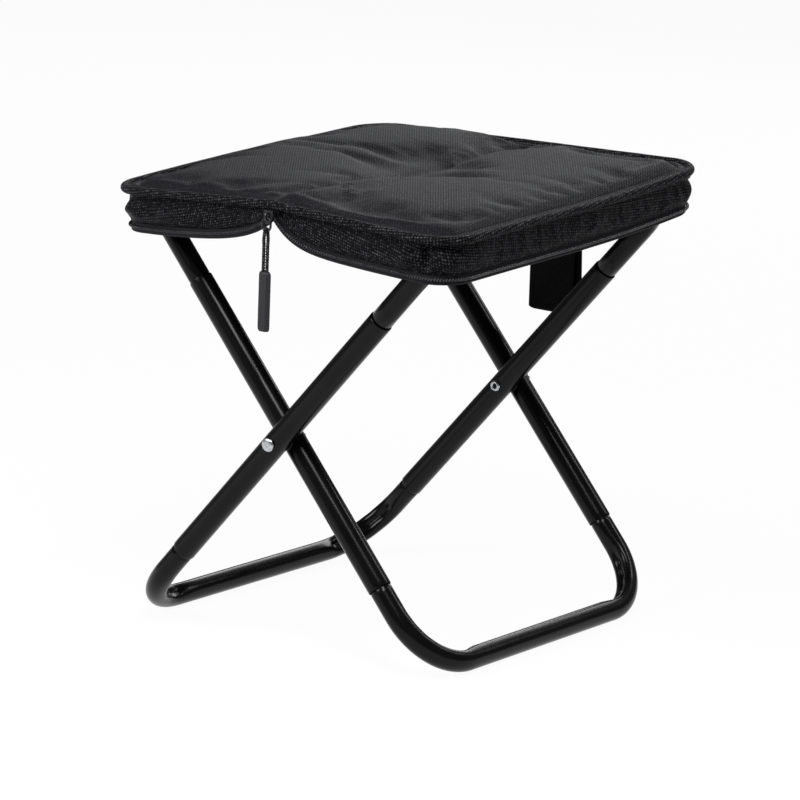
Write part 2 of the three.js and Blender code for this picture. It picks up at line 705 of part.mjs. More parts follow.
// Flat loop of webbing that hangs from its upper turn, and the sewn end that holds it.
function handle() {
  const strap = new THREE.Group();
  const anchorFace = SEAT_HALF_Y + SEWN_GAP;
  const anchor = new THREE.BoxGeometry(HANDLE_WIDTH, WEBBING_THICKNESS, ANCHOR_HEIGHT);
  anchor.translate(HANDLE_WIDTH / 2, WEBBING_THICKNESS / 2, -ANCHOR_HEIGHT / 2);
  const sewn = named('handle_anchor', anchor, finish.webbing);
  const rimHeight = rimTop - pipingRadius + settle(HANDLE_FROM_CREASE + HANDLE_WIDTH / 2, SEAT_HALF_Y);
  sewn.position.set(HANDLE_FROM_CREASE, anchorFace, rimHeight);
  strap.add(sewn);
  const outer = HANDLE_SLIT / 2 + WEBBING_THICKNESS;
  const straight = HANDLE_LENGTH - 2 * outer;
  const section = new THREE.Shape(racetrack(outer, straight));
  section.holes.push(new THREE.Path(racetrack(HANDLE_SLIT / 2, straight)));
  const webbing = new THREE.ExtrudeGeometry(section, { depth: HANDLE_WIDTH, bevelEnabled: false });
  turnToWall(webbing, HANDLE_WIDTH);
  const loop = named('carry_handle', webbing, finish.webbing);
  loop.position.set(
    HANDLE_FROM_CREASE + HANDLE_WIDTH / 2,
    anchorFace + WEBBING_THICKNESS + SEWN_GAP + outer,
    panelUnderside - HANDLE_DROP,
  );
  strap.add(loop);
  return strap;
}

const group = new THREE.Group();
group.add(frame('front', -1));
group.add(frame('rear', 1));
group.add(pivot(-1));
group.add(pivot(1));
group.add(seatHalf(-1));
group.add(seatHalf(1));
group.add(zipPull());
group.add(handle());

export default group;
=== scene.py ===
# Folding stool with a zip-up bag seat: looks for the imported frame. Sizes are in millimetres and
# become metres where a mesh is made. +X points to the front foot bar, Y runs along the foot bars.
import json
import math

import bmesh
import bpy
import numpy as np
from mathutils import Matrix, Vector, noise


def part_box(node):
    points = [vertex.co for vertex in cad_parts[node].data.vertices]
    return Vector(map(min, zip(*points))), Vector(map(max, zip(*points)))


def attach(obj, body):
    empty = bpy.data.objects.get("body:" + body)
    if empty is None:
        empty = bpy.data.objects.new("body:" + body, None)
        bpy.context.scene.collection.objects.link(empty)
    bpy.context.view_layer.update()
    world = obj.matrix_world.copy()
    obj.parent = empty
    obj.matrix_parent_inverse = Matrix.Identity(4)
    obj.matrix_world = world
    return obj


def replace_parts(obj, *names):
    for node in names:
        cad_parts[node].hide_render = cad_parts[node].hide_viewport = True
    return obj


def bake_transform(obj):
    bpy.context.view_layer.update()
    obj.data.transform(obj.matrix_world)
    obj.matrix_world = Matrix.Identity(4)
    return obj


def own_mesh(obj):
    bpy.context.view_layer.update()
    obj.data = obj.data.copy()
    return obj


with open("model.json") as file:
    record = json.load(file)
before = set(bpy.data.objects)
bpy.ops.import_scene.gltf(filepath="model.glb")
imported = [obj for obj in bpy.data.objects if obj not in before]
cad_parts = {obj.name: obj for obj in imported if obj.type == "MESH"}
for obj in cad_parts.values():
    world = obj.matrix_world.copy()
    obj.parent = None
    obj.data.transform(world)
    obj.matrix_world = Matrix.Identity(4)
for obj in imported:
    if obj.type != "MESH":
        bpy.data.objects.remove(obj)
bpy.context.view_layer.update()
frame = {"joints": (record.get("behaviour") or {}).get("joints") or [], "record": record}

MM = 0.001
TINY = 1e-9
X_AXIS, Y_AXIS, Z_AXIS = (1.0, 0, 0), (0, 1.0, 0), (0, 0, 1.0)
JOINTS = {joint["name"]: joint for joint in frame["joints"]}


def node_box(node):
    """Low and high corner of a node of the frame."""
    low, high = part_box(node)
    return low / MM, high / MM


def node_centre(node):
    low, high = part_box(node)
    return (low + high) / 2 / MM


# Frame places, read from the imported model
PIVOT_HEIGHT = JOINTS["fold"]["pos_m"][2] / MM
LEG_SIN = JOINTS["front_foot_slide"]["axis"][0]
LEG_COS = -JOINTS["front_foot_slide"]["axis"][2]
FRONT_NEAR_Y = node_centre("front_middle_tube_near").y
FRONT_FAR_Y = node_centre("front_middle_tube_far").y
FRAME_OFFSET = (FRONT_NEAR_Y + FRONT_FAR_Y) / 2
LEG_HALF = (FRONT_FAR_Y - FRONT_NEAR_Y) / 2
BAR_REACH = -JOINTS["seat_left_fold"]["pos_m"][0] / MM
BAR_HEIGHT = JOINTS["seat_left_fold"]["pos_m"][2] / MM
UNDERSIDE = JOINTS["crease_fold"]["pos_m"][2] / MM
FOOT_BAR_X = frame["record"]["mounts"][0]["pos_m"][0] / MM
FOOT_DROP = FOOT_BAR_X / LEG_SIN
BAR_RISE = BAR_REACH / LEG_SIN

# Tubes
TUBE_OD = 16
TUBE_WALL = 1
MIDDLE_TUBE_OD = 17.4
MIDDLE_TUBE_WALL = 0.5
PUSH_IN = 40
BELOW_PIVOT = 124
ABOVE_PIVOT = 134
FOOT_BEND_RADIUS = 46
SEAT_BEND_RADIUS = 28
TUBE_SIDES = 48
STRAIGHT_STEP = 9
BEND_STEP = 2
END_DEPTH = 12

# Press dents inside the bends: depths are shares of the tube's radius, angles are in radians,
# and their lengths are shares of the bend's arc on each side of its middle
DENT_SHARE = 0.5
DENT_ANGLE = 0.6
SHOULDER_SHARE = 0.07
SHOULDER_ANGLE = DENT_ANGLE / 1.6
DENT_FULL_LENGTH = 0.32
DENT_FADE_LENGTH = 0.18
DENT_RUN_OUT = 8
DENT_RIPPLE_SHARE = 0.1
DENT_RIPPLE_PITCH = 13

# Rings round the thin tubes at their joints, as (place along the leg, share of the depth), and the
# rolled mouths of the wider tubes, whose lip is shaped by (way back, fall) as shares of its size
NECK_DEPTH = 0.5
NECK_RINGS = ((-1.2, 0), (-0.3, 1), (0.6, 1), (1.5, 0))
NECK_ROOM_BEFORE = 2
NECK_ROOM_AFTER = 4
MOUTH_LENGTH = 4
MOUTH_LIP = 0.35
MOUTH_LIP_SHAPE = ((1.5, 0), (0.5, 0.2), (0, 0.6))
MOUTH_FLARE = 0.32
MOUTH_EDGE = 0.1
MOUTH_DEPTH = 1.1

# Rivets and washers
RIVET_CLEARANCE = 0.3
RIVET_SHANK_OD = 5
RIVET_HEAD_OD = 10
RIVET_HEAD_HEIGHT = 2.4
RIVET_HEAD_RIM = 0.6
RIVET_HEAD_UNDERCUT = 0.15
RIVET_HEAD_FULLNESS = 0.62
RIVET_ROLL_OD = 8
RIVET_ROLL_HEIGHT = 1.6
RIVET_BORE_OD = 3.2
RIVET_BORE_DEPTH = 7
WASHER_OD = 14
WASHER_THICKNESS = 0.5
WASHER_CLEARANCE = 0.2
ROUND_STEPS = 10
POINT_RADIUS = 0.01

# Seat rim
SEAT_HALF_X = 154
SEAT_HALF_Y = 158
SEAT_CORNER_RADIUS = 32
PIPING_OD = 6
PIPING_SIDES = 20
PIPING_SWELL = 0.035
PIPING_SWELL_PER_MM = 0.05
PIPING_LUMPS = 0.02
PIPING_LUMPS_PER_MM = 0.25
PIPING_LUMPS_LAYER = 9
RIM_STEP = 2.6
FAR_RISE = 8.5
FAR_TILT = 4
FAR_CURVE = 1.5
NEAR_FALL = 8.5
NEAR_TILT = 1.5
NEAR_START = 20
NEAR_CURVE = 1.2

# Seat padding: a flat band inside the piping, then the padded top of each half
PAD_LEAST = 1.8
PAD_CLEARANCE = 0.2
PAD_FOLLOW = 0.8
LEVEL_INSET = 6.5
EDGE_INSET = 2.6
EDGE_RUN = 3.6
MOAT_INSET = 6.8
MOAT_WIDTH = 1.5
MOAT_DEPTH = 1.3
MOAT_TIGHT_LOSS = 0.7
BAND_HEIGHT = 4.7
BAND_WIDTH = 13.4
BAND_GROOVE = 1.1
BAND_GROOVE_WIDTH = 0.9
PAD_RISE = 1.9
PAD_RISE_RUN = 7
TIGHT_BAND_WIDTH = 4.5
TIGHT_RISE_RUN = 13
LEFT_CROWN = 5.4
RIGHT_CROWN = 3.8
CROWN_FULLNESS_ACROSS = 0.75
CROWN_FULLNESS_ALONG = 0.45
FAR_LEFT_SWELL = 1.6
SWELL_X = -60
SWELL_WIDTH = 55
SWELL_START_Y = 20
SWELL_RUN = 90
PAD_INSETS = (
    EDGE_INSET, 4, 5.2, 6.2, 7.4, 9, 11, 12.5, 13, BAND_WIDTH, 13.8, 14.4, 15.4, 17, 19, 21.5, 24.5,
)
CREASE_STEPS = (0, 1, 2.2, 3.6, 5.4, 7.6, 10.4)
PAD_STEP = 3.8

# Crease: a ridge on its right and a valley on its left, which ends in a wide dip at the far side
CREASE_RIDGE = 2.6
CREASE_RIDGE_WIDTH = 13
CREASE_RIDGE_X = 8
CREASE_RIDGE_FADE = 0.75
CREASE_VALLEY = 3.2
CREASE_VALLEY_WIDTH = 6.5
CREASE_VALLEY_X = -5
CREASE_VALLEY_NEAR_SHARE = 0.35
CREASE_DIP_START = 0.62
CREASE_DIP_X = -4
CREASE_DIP_WIDTH = 17
CREASE_LIFT = 2.2
CREASE_LIFT_WIDTH = 3

# Where the padding swells over the flat band, at the near edge and the far part of the left edge
TIGHT_START = 100
TIGHT_FADE = 40
TIGHT_END_FADE = 30
TIGHT_NEAR_X = -4
TIGHT_NEAR_REACH = 104
TIGHT_LEFT_START_Y = -84
TIGHT_LEFT_START_FADE = 50
TIGHT_LEFT_END_Y = 118

# Stitches
STITCH_INSET = 10.6
STITCH_PITCH = 3.2
STITCH_LENGTH = 2.3
STITCH_OD = 0.55
STITCH_SIDES = 6
STITCH_RINGS = ((0, 0.3, -0.6), (0.2, 1, 0.3), (0.8, 1, 0.3), (1, 0.3, -0.6))

# Bag walls
SIDES = {-1: "left", 1: "right"}
WALL_INSET = 5.2
WALL_LEAN = 0.2
WALL_THICKNESS = 0.9
WALL_STEP = 2.4
WALL_ROWS = 13
WALL_GAP = 0.3
WALL_TUCK = 1.3
WALL_HOLLOW = 3
HOLLOW_PLACE = 0.17
HOLLOW_REACH = 0.14
HOLLOW_LEAST = 0.35
WALL_BELLY = 3
BELLY_START = 0.75
BELLY_FULLNESS = 0.8
BELLY_LEAST = 0.6
BAG_DEPTH = 28
CREASE_DEPTH = 8.6
CREASE_SKIP = 0.6
TAPERS = {-1: 24, 1: 15}
LEFT_TUCK = 3.6
LEFT_TUCK_START_X = -84
LEFT_TUCK_RUN = 56
LEFT_TUCK_END_Y = 20
LEFT_TUCK_END_RUN = 90
HEM_HEIGHT = 5
HEM_THICKNESS = 1.7
HEM_ROUND = HEM_THICKNESS / 2.2
HEM_OUT = 0.45
HEM_DROP = 0.4

# Zip
ZIP_BAND = 7.6
ZIP_TAPE_THICKNESS = 2.2
ZIP_TAPE_BACK = 1.6
ZIP_CLOTH_SHARE = 0.7
ZIP_ROUND_SHARE = 0.3
ZIP_BEAD_HEIGHT = 2.2
ZIP_BEAD_ROUND = 1
ZIP_FLARE = 1.6
ZIP_FLARE_REACH = 8
COIL_PITCH = 2
COIL_HEIGHT_SHARE = 0.55
COIL_HALF_HEIGHT = 0.95
COIL_HALF_DEPTH = 0.8
COIL_WIRE = 0.42
COIL_STEPS = 8
COIL_SIDES = 5

# Folds of the walls: place along the wall from the near end of the crease, lean, width, depth,
# middle and reach as shares of the wall's height
FOLDS = {
    -1: (
        (150, 26, 5, -2.4, 0.5, 0.4), (139, 26, 6, 1.7, 0.6, 0.4), (163, -16, 5, 1.9, 0.45, 0.4),
        (174, -18, 4, -2, 0.5, 0.5), (186, 8, 6, 1.4, 0.5, 0.5), (116, 34, 6, -2.6, 0.5, 0.5),
        (88, 60, 13, 3.4, 0.62, 0.34), (46, 44, 13, -2.2, 0.5, 0.45), (240, 30, 14, 1, 0.5, 0.5),
        (300, -30, 12, -1, 0.5, 0.5),
    ),
    1: (
        (131, 2, 3, -6, 0.55, 0.42), (118, -10, 7, 4, 0.62, 0.35), (144, 12, 7, 4, 0.6, 0.35),
        (92, -30, 10, -1.8, 0.55, 0.4), (161, 26, 5, -1.5, 0.4, 0.4), (174, 30, 7, 1.1, 0.5, 0.4),
        (418, 6, 3.4, -2, 0.45, 0.5), (428, -8, 4.5, 1.7, 0.5, 0.5), (439, 10, 3.4, -1.7, 0.5, 0.5),
        (449, 4, 5, 1.4, 0.5, 0.5), (300, 30, 16, 0.8, 0.5, 0.5),
    ),
}

# Sleeves
SLEEVE_OD = 19
SLEEVE_WALL = 1.2
SLEEVE_END_GAP = 6
SLEEVE_BORE_DEPTH = 8
SLEEVE_UNEVEN = 0.25
SLEEVE_UNEVEN_PER_MM = 0.07
SLEEVE_ROWS = 40
SLEEVE_SIDES = 32
FLANGE_WIDTH = 9
FLANGE_START = 3
FLANGE_THICKNESS = 0.5
FLANGE_ROUND = 0.2
FLANGE_DROP = 0.3
FLANGE_PROBES = (-4.5, -2.2, 0, 2.2, 4.5)

# Zip slider and its bridge: corner points are (in from the bridge's bar, in from its end)
SLIDER_WIDTH = 8
SLIDER_TAIL_WIDTH = 4.6
SLIDER_SHOULDER = 0.35
SLIDER_HEIGHT = 9.5
SLIDER_THICKNESS = 2.2
SLIDER_STEPS = 7
SLIDER_RINGS = ((0, 0.9), (0.25, 1), (SLIDER_THICKNESS - 0.5, 1), (SLIDER_THICKNESS, 0.86))
BRIDGE_WIDTH = 1.9
BRIDGE_BAR = 1.2
BRIDGE_ROUND = 0.4
BRIDGE_TOP = 1.8
BRIDGE_LOW = 6.4
BRIDGE_SINK = 0.4
BRIDGE_FOOT = 0.6
BRIDGE_CORNER = ((0.7, 0.1), (0.1, 0.9))

# Zip pull: the tab's ends are (distance from the end, share of its width, share of its thickness)
LOOP_WIDTH = 9
LOOP_WIRE = 1.7
LOOP_STEPS = 48
LOOP_SIDES = 14
LOOP_SQUARENESS = 6
CORD_OD = 2.4
CORD_GAP = 0.35
CORD_STEPS = 90
CORD_BEND_STEPS = 12
CORD_SIDES = 12
CORD_TURN = 1.25
CORD_TURN_RUN = 0.4
CORD_SPREAD_RUN = 0.35
BRAID_SHARE = 0.1
BRAID_PITCH = 1.9
TAB_CHAMFER = 2.1
TAB_END = ((0, 0.7, 0.66), (0.4, 0.84, 0.84), (1.3, 0.96, 0.96), (2.6, 1, 1))

# Handle
HANDLE_WIDTH = 40
HANDLE_SHIFT = -7
HANDLE_SKEW = 6
HANDLE_INNER_BELLY = 0.5
HANDLE_OUTER_BELLY = 0.96
HANDLE_STEPS = 24
HANDLE_TURN_STEPS = 9
HANDLE_COLUMNS = 22
WEBBING_THICKNESS = 1.6
WEBBING_SEAM_SHARE = 0.55
WEBBING_SEAM_WIDTH = 0.9
WEBBING_EDGE = 1.2
WEBBING_EDGE_SHARE = 0.55
ANCHOR_ROUND = 0.7
ANCHOR_STEPS = 8
ANCHOR_SEAM_INSET = 3
ANCHOR_SEAM_STEPS = 12

# Cloth simulation: a light, supple sheet that is cut 2 percent larger than its place
SIM_FRAMES = 18
CLOTH = {
    "quality": 7, "mass": 0.15, "tension_stiffness": 12, "compression_stiffness": 12,
    "shear_stiffness": 4, "bending_stiffness": 0.25, "air_damping": 2, "shrink_min": -0.022,
}
PAD_GRID = 6
PAD_PRESSURE = 1.2
PAD_SETTLE_CAP = 3.2
WALL_PRESSURE = 0.35
WALL_SETTLE_CAP = 1.6
WALL_GRAVITY = 0.6

# Camera, found from about 40 points of the tubes, rivets and joints in the photo
CAMERA_PLACE = (1713.75, -2273.02, 815.02)
CAMERA_TARGET = (-0.3, -1.57, 160.35)
CAMERA_ROLL_DEG = 2.16
CAMERA_CLIP = (50, 60000)
PHOTO_WIDTH = 800
FOCAL_PIXELS = 4025.7
SENSOR_WIDTH = 36

# Floor and lights: place, aim, width, height and watts of each softbox
FLOOR_HALF = 14000
FLOOR_DROP = 0.2
FLOOR_WHITE_SHARE = 0.95
WORLD_STRENGTH = 0.16
STOOL_MIDDLE = (0, 0, 200)
SOFTBOXES = {
    "top_softbox": ((500, -600, 1320), STOOL_MIDDLE, 320, 700, 12),
    "front_left_softbox": ((-750, -1350, 1150), STOOL_MIDDLE, 900, 700, 22),
    "rear_right_strip": ((1050, 1450, 1750), (100, 0, 100), 120, 1200, 8),
    "rear_panel": ((-900, 2500, 1350), STOOL_MIDDLE, 2200, 900, 24),
}


# Meshes

def smooth(value):
    """Eased step from 0 to 1."""
    value = np.clip(value, 0, 1)
    return value * value * (3 - 2 * value)


def hump(distance, width):
    """Bell curve that is 1 at no distance and has nearly gone at twice the width."""
    return np.exp(-(distance / width) ** 2)


def lengths_along(points):
    steps = np.linalg.norm(np.diff(points, axis=0), axis=1)
    return np.concatenate([[0], np.cumsum(steps)])


def at(where, along, values):
    """Values that are given along a line, at other places on it."""
    return np.stack([np.interp(where, along, values[:, k]) for k in range(3)], axis=-1)


def level(normals):
    """Directions in the seat's plane, as 3D directions."""
    return np.column_stack([normals, np.zeros(len(normals))])


def tangents(points, closed=False):
    if closed:
        step = np.roll(points, -1, axis=0) - np.roll(points, 1, axis=0)
    else:
        step = np.gradient(points, axis=0)
    return step / np.linalg.norm(step, axis=1, keepdims=True)


def circle(radius, sides):
    angle = np.arange(sides) * 2 * math.pi / sides
    return np.stack([np.cos(angle), np.sin(angle)], axis=1) * radius


def rounded_box(width, height, radius, steps=3):
    """Outline of a rectangle with round corners, centred on its middle."""
    outline = []
    for corner, (sx, sy) in enumerate(((1, 1), (-1, 1), (-1, -1), (1, -1))):
        for i in range(steps + 1):
            angle = (corner + i / steps) * math.pi / 2
            outline.append((
                sx * (width / 2 - radius) + radius * math.cos(angle),
                sy * (height / 2 - radius) + radius * math.sin(angle),
            ))
    return np.array(outline)


def rings_along(centres, first_axes, second_axes, section):
    """Rings of a 2D section, one at each centre, drawn in the two axes given there."""
    centres = np.asarray(centres, float)
    first_axes = np.broadcast_to(first_axes, centres.shape)
    second_axes = np.broadcast_to(second_axes, centres.shape)
    section = np.asarray(section, float)
    if section.ndim == 2:
        section = np.broadcast_to(section, (len(centres), *section.shape))
    return (
        centres[:, None]
        + section[..., 0, None] * first_axes[:, None]
        + section[..., 1, None] * second_axes[:, None]
    )


def loft(rings, around=True, closed=False, slot=0):
    """Skin over rings of points. Its cloth places are in mm along the rings and around each ring.
    A sheet isn't joined around, and a closed skin joins its last ring to its first."""
    rings = np.asarray(rings, float)
    count, sides = rings.shape[:2]
    wrapped = np.concatenate([rings, rings[:, :1]], axis=1) if around else rings
    along = lengths_along(rings.mean(axis=1))
    across = lengths_along(wrapped[count // 2])
    seam = np.linalg.norm(rings[0].mean(axis=0) - rings[-1].mean(axis=0))
    faces, places = [], []
    for r in range(count if closed else count - 1):
        after = (r + 1) % count
        next_along = along[r] + seam if after == 0 else along[after]
        for i in range(sides if around else sides - 1):
            j = (i + 1) % sides
            faces.append((r * sides + i, r * sides + j, after * sides + j, after * sides + i))
            places.append((
                (along[r], across[i]), (along[r], across[i + 1]),
                (next_along, across[i + 1]), (next_along, across[i]),
            ))
    if around and not closed:
        for first, order in ((0, -1), ((count - 1) * sides, 1)):
            faces.append(tuple(range(first, first + sides))[::order])
            places.append(tuple((along[first // sides], across[i]) for i in range(sides))[::order])
    return {"points": rings.reshape(-1, 3), "faces": faces, "places": places, "slot": slot}


def lathe(profile, base, axis, closed=False):
    """Turned shape. The profile's points are (place along the axis, radius)."""
    axis = np.asarray(axis, float)
    side = np.cross(axis, Y_AXIS) if abs(axis[1]) < 0.9 else np.array(X_AXIS)
    side = side / np.linalg.norm(side)
    other = np.cross(axis, side)
    centres = [np.asarray(base) + place * axis for place, _ in profile]
    sections = [circle(radius, TUBE_SIDES) for _, radius in profile]
    return loft(rings_along(centres, side, other, sections), closed=closed)


def stitches(points, outward, slot=1):
    """Row of short thread ends along a line of points, lying on the side that outward faces."""
    points = np.asarray(points, float)
    outward = np.broadcast_to(np.asarray(outward, float), points.shape)
    along = lengths_along(points)
    parts = []
    half, radius = STITCH_LENGTH / 2, STITCH_OD / 2
    for place in np.arange(STITCH_PITCH, along[-1] - STITCH_PITCH, STITCH_PITCH):
        first, last = at(place - half, along, points), at(place + half, along, points)
        face = at(place, along, outward)
        face = face / np.linalg.norm(face)
        run = (last - first) / np.linalg.norm(last - first)
        centres = [first + (last - first) * share + face * radius * rise for share, _, rise in STITCH_RINGS]
        sections = [circle(radius * size, STITCH_SIDES) for _, size, _ in STITCH_RINGS]
        parts.append(loft(rings_along(centres, np.cross(run, face), face, sections), slot=slot))
    return parts


def new_object(name, data):
    made = bpy.data.objects.new(name, data)
    bpy.context.scene.collection.objects.link(made)
    return made


def piece(name, parts, materials, sharp_deg=40):
    """One mesh object made of parts, with the faces of every closed part turned outwards."""
    points, faces, places, slots = [], [], [], []
    start = 0
    for part in parts:
        points.append(np.asarray(part["points"]) * MM)
        faces += [tuple(start + i for i in face) for face in part["faces"]]
        places += part["places"]
        slots += [part["slot"]] * len(part["faces"])
        start += len(part["points"])
    mesh = bpy.data.meshes.new(name)
    mesh.from_pydata(np.concatenate(points).tolist(), [], faces)
    layer = mesh.uv_layers.new(name="Cloth")
    layer.data.foreach_set("uv", np.array([xy for face in places for xy in face]).ravel())
    mesh.polygons.foreach_set("material_index", slots)
    for material in materials:
        mesh.materials.append(material)
    work = bmesh.new()
    work.from_mesh(mesh)
    bmesh.ops.recalc_face_normals(work, faces=work.faces)
    work.to_mesh(mesh)
    work.free()
    mesh.shade_smooth()
    mesh.set_sharp_from_angle(angle=math.radians(sharp_deg))
    made = new_object(name, mesh)
    return made


def shown(node, parts, materials, sharp_deg=40):
    """Piece that stands for one node of the frame."""
    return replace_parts(piece(f"{node}_shown", parts, materials, sharp_deg), node)


# Materials

def linear(colour):
    """Linear RGBA of an sRGB hex colour."""
    shares = [int(colour[i:i + 2], 16) / 255 for i in (1, 3, 5)]
    return [c / 12.92 if c <= 0.04045 else ((c + 0.055) / 1.055) ** 2.4 for c in shares] + [1]


def set_inputs(tree, node, inputs):
    """Sets inputs to values, or links them to outputs. A node given for one means its first output."""
    for key, value in inputs.items():
        if isinstance(value, bpy.types.Node):
            value = value.outputs[0]
        if isinstance(value, bpy.types.NodeSocket):
            tree.links.new(value, node.inputs[key])
        else:
            node.inputs[key].default_value = value


def add(tree, kind, inputs=None, **settings):
    """Adds a node with its settings and inputs."""
    node = tree.nodes.new("ShaderNode" + kind)
    for name, value in settings.items():
        setattr(node, name, value)
    set_inputs(tree, node, inputs or {})
    return node


def material(name):
    """New material, with its node tree and its shader."""
    made = bpy.data.materials.new(name)
    made.use_nodes = True
    return made, made.node_tree, made.node_tree.nodes["Principled BSDF"]


def spots(tree, size_mm, detail=2, low=0.3, high=0.7):
    """Soft random patches of about the given size, from 0 to 1, fixed to the object."""
    place = add(tree, "TexCoord").outputs["Object"]
    cloud = add(tree, "TexNoise", {"Vector": place, "Scale": 1 / (size_mm * MM), "Detail": detail})
    return add(tree, "MapRange", {"Value": cloud, "From Min": low, "From Max": high})


def weave(tree, along_mm, across_mm, turned_deg=0):
    """Plain weave of threads with the given spacings: 1 where a warp thread is on top, 0 for weft."""
    place = add(tree, "UVMap", uv_map="Cloth")
    if turned_deg:
        angle = math.radians(turned_deg)
        place = add(tree, "VectorRotate", {"Vector": place, "Angle": angle}, rotation_type="Z_AXIS")
    axes = add(tree, "SeparateXYZ", {"Vector": place}).outputs
    waves = []
    for key, spacing in (("X", along_mm), ("Y", across_mm)):
        phase = add(tree, "Math", {0: axes[key], 1: math.pi / spacing}, operation="MULTIPLY")
        waves.append(add(tree, "Math", {0: phase}, operation="SINE"))
    product = add(tree, "Math", {0: waves[0], 1: waves[1]}, operation="MULTIPLY")
    return add(tree, "MapRange", {"Value": product, "From Min": -1.0, "From Max": 1.0})


def twill(tree, rib_mm):
    """Slanting ribs of a twill weave, from 0 to 1."""
    axes = add(tree, "SeparateXYZ", {"Vector": add(tree, "UVMap", uv_map="Cloth")}).outputs
    slanted = add(tree, "Math", {0: axes["X"], 1: axes["Y"]}, operation="ADD")
    phase = add(tree, "Math", {0: slanted, 1: 2 * math.pi / rib_mm}, operation="MULTIPLY")
    ribs = add(tree, "Math", {0: phase}, operation="SINE")
    return add(tree, "MapRange", {"Value": ribs, "From Min": -1.0})


def dress(tree, shader, pattern, dark, light, reliefs, inputs):
    """Gives a shader its colour, dark to light by a pattern, its other inputs, and its reliefs, one
    over the other, each as (pattern, depth in mm, strength)."""
    colour = add(tree, "Mix", {"Factor": pattern, 6: linear(dark), 7: linear(light)}, data_type="RGBA")
    inputs = {"Base Color": colour.outputs[2], **inputs}
    for height, depth_mm, strength in reliefs:
        under = {"Normal": inputs["Normal"]} if "Normal" in inputs else {}
        inputs["Normal"] = add(tree, "Bump", {
            "Height": height, "Distance": depth_mm * MM, "Strength": strength, **under,
        })
    set_inputs(tree, shader, inputs)


def gloss_coated_steel():
    # Steel tube, powder coated in gloss black: deep black with sharp lights and a faint orange peel.
    made, tree, shader = material("gloss_coated_steel")
    haze = add(tree, "MapRange", {"Value": spots(tree, 22), "To Min": 0.2, "To Max": 0.24})
    dress(tree, shader, spots(tree, 40), "#050506", "#0a0a0b", [(spots(tree, 45, 0), 0.1, 0.3)],
          {"Roughness": haze, "IOR": 1.5, "Specular IOR Level": 0.17})
    return made


def zinc_plated_steel():
    # Rivet steel, zinc plated and pressed: bright grey metal with fine turned marks.
    made, tree, shader = material("zinc_plated_steel")
    dress(tree, shader, spots(tree, 1.2), "#a6a8ab", "#d4d6d9", [(spots(tree, 0.5), 0.03, 0.5)],
          {"Metallic": 1.0, "Roughness": 0.28})
    return made


def moulded_nylon():
    # Moulded nylon washer: dull black plastic.
    made, tree, shader = material("moulded_nylon")
    grain = add(tree, "Bump", {"Height": spots(tree, 0.6), "Distance": 0.03 * MM, "Strength": 0.4})
    set_inputs(tree, shader, {
        "Base Color": linear("#1c1c1e"), "Roughness": 0.5, "IOR": 1.53, "Normal": grain,
    })
    return made


def oxford_cloth(name, dark, light, roughness, gloss, thread_mm, depth_mm, turned_deg=0):
    # Coated polyester oxford: thick basket weave whose raised threads are painted lighter, as painted
    # glints in place of the light they catch.
    # The real threads are 0.6 mm apart, drawn about twice as wide so that they show in the render.
    made, tree, shader = material(name)
    threads = weave(tree, thread_mm * 0.86, thread_mm * 1.14, turned_deg)
    uneven = spots(tree, thread_mm * 1.3, 2, 0.2, 0.8)
    both = add(tree, "Math", {0: threads, 1: uneven}, operation="MULTIPLY")
    raised = add(tree, "MapRange", {"Value": both, "From Min": 0.3, "From Max": 0.75})
    shine = add(tree, "MapRange", {
        "Value": raised, "To Min": roughness + 0.12, "To Max": roughness - 0.1,
    })
    # Colour runs from dark to light over the raised threads: painted glints.
    dress(tree, shader, raised, dark, light, [(spots(tree, 9, 3), 0.25, 0.5), (threads, depth_mm, 1.0)], {
        "Roughness": shine, "IOR": 1.5, "Specular IOR Level": gloss,
        "Sheen Weight": 0.03, "Sheen Roughness": 0.4, "Sheen Tint": linear("#c8c8d0"),
    })
    return made


def lining_cloth():
    # Plain polyester lining: thin, even and slightly shiny.
    made, tree, shader = material("lining_cloth")
    threads = weave(tree, 0.7, 0.7)
    dress(tree, shader, threads, "#101012", "#1b1b1e",
          [(spots(tree, 16, 3), 0.6, 0.6), (threads, 0.08, 0.8)],
          {"Roughness": 0.55, "Specular IOR Level": 0.4})
    return made


def twill_webbing():
    # Polypropylene webbing in twill: fine slanting ribs, dull black with a soft shine on the ribs from
    # their relief, and the ribs painted slightly lighter as a painted sheen.
    made, tree, shader = material("twill_webbing")
    ribs = twill(tree, 1.9)
    dress(tree, shader, ribs, "#030304", "#0d0d0e",
          [(ribs, 0.3, 0.8), (weave(tree, 0.9, 0.9), 0.15, 0.6)],
          {"Roughness": 0.6, "Specular IOR Level": 0.08})
    return made


def ribbed_zip_tape():
    # Woven zip tape: narrow lengthways ribs crossed by fine weft, dull black.
    made, tree, shader = material("ribbed_zip_tape")
    threads = weave(tree, 1.3, 0.9)
    dress(tree, shader, threads, "#030304", "#2c2c30", [(threads, 0.3, 0.9)],
          {"Roughness": 0.6, "Specular IOR Level": 0.1})
    return made


def nylon_coil():
    # Zip coil of nylon monofilament: smooth black wire with small bright lights.
    made, tree, shader = material("nylon_coil")
    dress(tree, shader, spots(tree, 3), "#1c1c1f", "#38383c", [], {"Roughness": 0.25, "IOR": 1.53})
    return made


def painted_zinc_alloy():
    # Die-cast zinc slider with black paint: smooth and glossy, painted lighter in random patches as painted
    # highlights.
    made, tree, shader = material("painted_zinc_alloy")
    dress(tree, shader, spots(tree, 2), "#19191c", "#3a3a3e", [(spots(tree, 0.8), 0.03, 0.4)],
          {"Metallic": 0.6, "Roughness": 0.22, "Specular IOR Level": 0.4})
    return made


def braided_polyester():
    # Braided polyester cord: crossing strands, dull, each strand painted lighter as a painted highlight.
    made, tree, shader = material("braided_polyester")
    strands = weave(tree, 2.3, 1.9)
    dress(tree, shader, strands, "#030304", "#37373b", [(strands, 0.35, 1.0)],
          {"Roughness": 0.6, "Specular IOR Level": 0.12})
    return made


